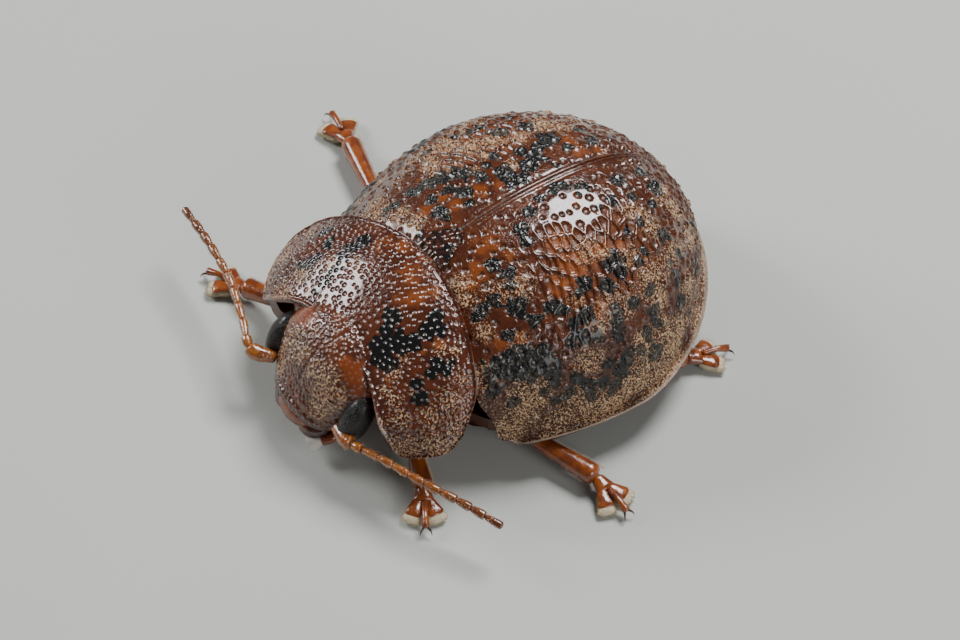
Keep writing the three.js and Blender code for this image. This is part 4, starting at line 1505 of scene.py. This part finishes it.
def leg(name, root, knee, ankle, turn):
    hip = ball(f"coxa_{name}_ball", root, (0.42, 0.34, 0.3), 4)
    dress(hip, amber, "leg", f"coxa_{name}")
    dress(tube(f"thigh_{name}_bar", [root, knee], 30, 24, thigh_width), amber, "leg", f"thigh_{name}")
    dress(tube(f"shin_{name}_bar", [knee, ankle], 30, 24, shin_width), amber, "leg", f"shin_{name}")
    knee, ankle = np.array(knee), np.array(ankle)
    along = (ankle - knee) / np.linalg.norm(ankle - knee)
    side = np.cross(along, (0, 0, 1))
    side = side / np.linalg.norm(side) * (-1 if name.endswith("left") else 1)
    dress(shin_fringe(name, knee, ankle, along, side), bristle, "leg", f"shin_{name}")
    edge_start = knee - along * 0.3 + side * 0.2 + (0, 0, 0.16)
    edge_end = knee + along * 0.12 + side * 0.24 + (0, 0, 0.14)
    edge = tube(f"thigh_{name}_pale_edge", [edge_start, edge_end], 60, 12, tuft_width)
    dress(edge, cream, "leg", f"thigh_{name}")
    foot(name, ankle, turn)


for name, (root, knee, ankle, turn) in LEG_PLACES.items():
    leg(name, root, knee, ankle, turn)
for part in FOOT_PARTS:
    bpy.data.objects.remove(part)

# %% [markdown]
# Below the dome the body is closed by plates: one below the shield, one that bears the middle and
# hind legs, and the ringed plates of the abdomen. They are wide, gently bulging sheets, so they
# are plates like the ones above. Their rims are taken from the dome and the shield, a little
# further in, so the belly fits below both without being fitted by eye.


# %% Forms of the belly
BELLY_Z = 0.72
ABDOMEN_SHARE = 0.36


def bulging(rim, inset, across):
    """A sheet between two rims, a little in from them, that sinks to the belly's level."""
    low_rim = rim[2] - 0.05
    return (rim[0] - inset) * across, low_rim - (low_rim - BELLY_Z) * (1 - np.abs(across) ** 2.5)


def belly_form(start, end):
    def form(row, column):
        share = start + (end - start) * row
        across = 2 * column - 1
        inset = 0.14 + 0.25 * (1 - rise(share, 0, 0.12))
        x, z = bulging(dome(share, np.ones_like(share)), inset, across)
        return x, dome(share, across)[1], z

    return form


def fore_belly_form(row, column):
    share = 0.12 + 0.84 * row
    across = 2 * column - 1
    inset = 0.12 + 0.2 * rise(row, 0.6, 1)
    x, z = bulging(shield_point(share, np.ones_like(share)), inset, across)
    return x, shield_point(share, across)[1], z


def rings(count):
    """Steps along the belly where one ring overlaps the next."""

    def relief(piece, row, column):
        part = (row * count) % 1.0
        return 0.05 * rise(part, 0.0, 0.12) - 0.04 * rise(part, 0.85, 1.0)

    return relief


print("the belly's middle ring ends at", round(float(dome(ABDOMEN_SHARE, 0.0)[1]), 2), "mm")

# %% [markdown]
# Between head and shield a strip of orange-red skin shows. A smooth ball inside the shield stands
# for it. The belly itself is plain brown horn with little gloss.

# %% Belly and neck lining
lining, start, link = finish_of("neck_lining", roughness=0.3, coat=0.3)
link("Base Color", start.cloud(0.4).blend(colour(0.3, 0.05, 0.01), colour(0.42, 0.09, 0.015)))
dress(ball("neck_lining", (0, -2.75, 1.5), (1.95, 0.85, 0.72), 5), lining, "belly", "fore_thorax")

belly_cuticle, start, link = finish_of("belly_cuticle", roughness=0.35, coat=0.2)
link("Base Color", start.cloud(0.5).blend(colour(0.06, 0.018, 0.008), colour(0.12, 0.035, 0.012)))
told(lining)
told(belly_cuticle)
for name, form, count in (
    ("fore_thorax", fore_belly_form, 1),
    ("mid_thorax", belly_form(0.0, ABDOMEN_SHARE), 1),
    ("abdomen", belly_form(ABDOMEN_SHARE, 0.985), 5),
):
    piece = plate(name + "_plates", 100, 120, form, 0.3, DOWN, rings(count))
    dress(piece, belly_cuticle, "belly", name)

# %% [markdown]
# A small dark triangle sits where the wing cases meet the shield. It could be cut from a flat
# disc, but it follows the slope of the dome, so it is a plate whose width runs out to a point.


# %% Plate between the wing cases
PLATE_LENGTH = 0.72
PLATE_HALF_WIDTH = 0.42
PLATE_SLOPE = 0.3


def scutellum_form(row, column):
    across = 2 * column - 1
    half = PLATE_HALF_WIDTH * (1 - row**1.4) + 0.01
    y = BASE_Y + GAP + PLATE_LENGTH * row
    z = CASE_FRONT_Z + 0.06 + math.tan(PLATE_SLOPE) * PLATE_LENGTH * row - 0.05 * across**2
    return half * across, y, z


def scutellum_relief(piece, row, column):
    points = read(piece)
    pits = scattered(laid_flat(0.7, 0.8), 0.11, 400, 8)
    near_pit = nearest_two(points, spot(*scutellum_form(*pits)))[0] / MM
    for name, values in (("near_pit", near_pit), ("edge", row * 0 + 1), ("outer", row * 0 + 1)):
        keep(piece, name, values)
    return -0.012 * (1 - rise(near_pit, 0.01, 0.04)) + 0.015 * lumps(points, 0.3, 9)


scutellum = plate("scutellum_plate", 60, 60, scutellum_form, 0.1, UP, scutellum_relief)
everywhere = np.ones(len(scutellum.data.vertices), dtype=np.float32)
scutellum.data.attributes["outer"].data.foreach_set("value", everywhere)
dress(scutellum, shield_cuticle, "shield", "scutellum")

# %% [markdown]
# Last, the box around all that was made is measured.

# %% Sizes and the end
low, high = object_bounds()
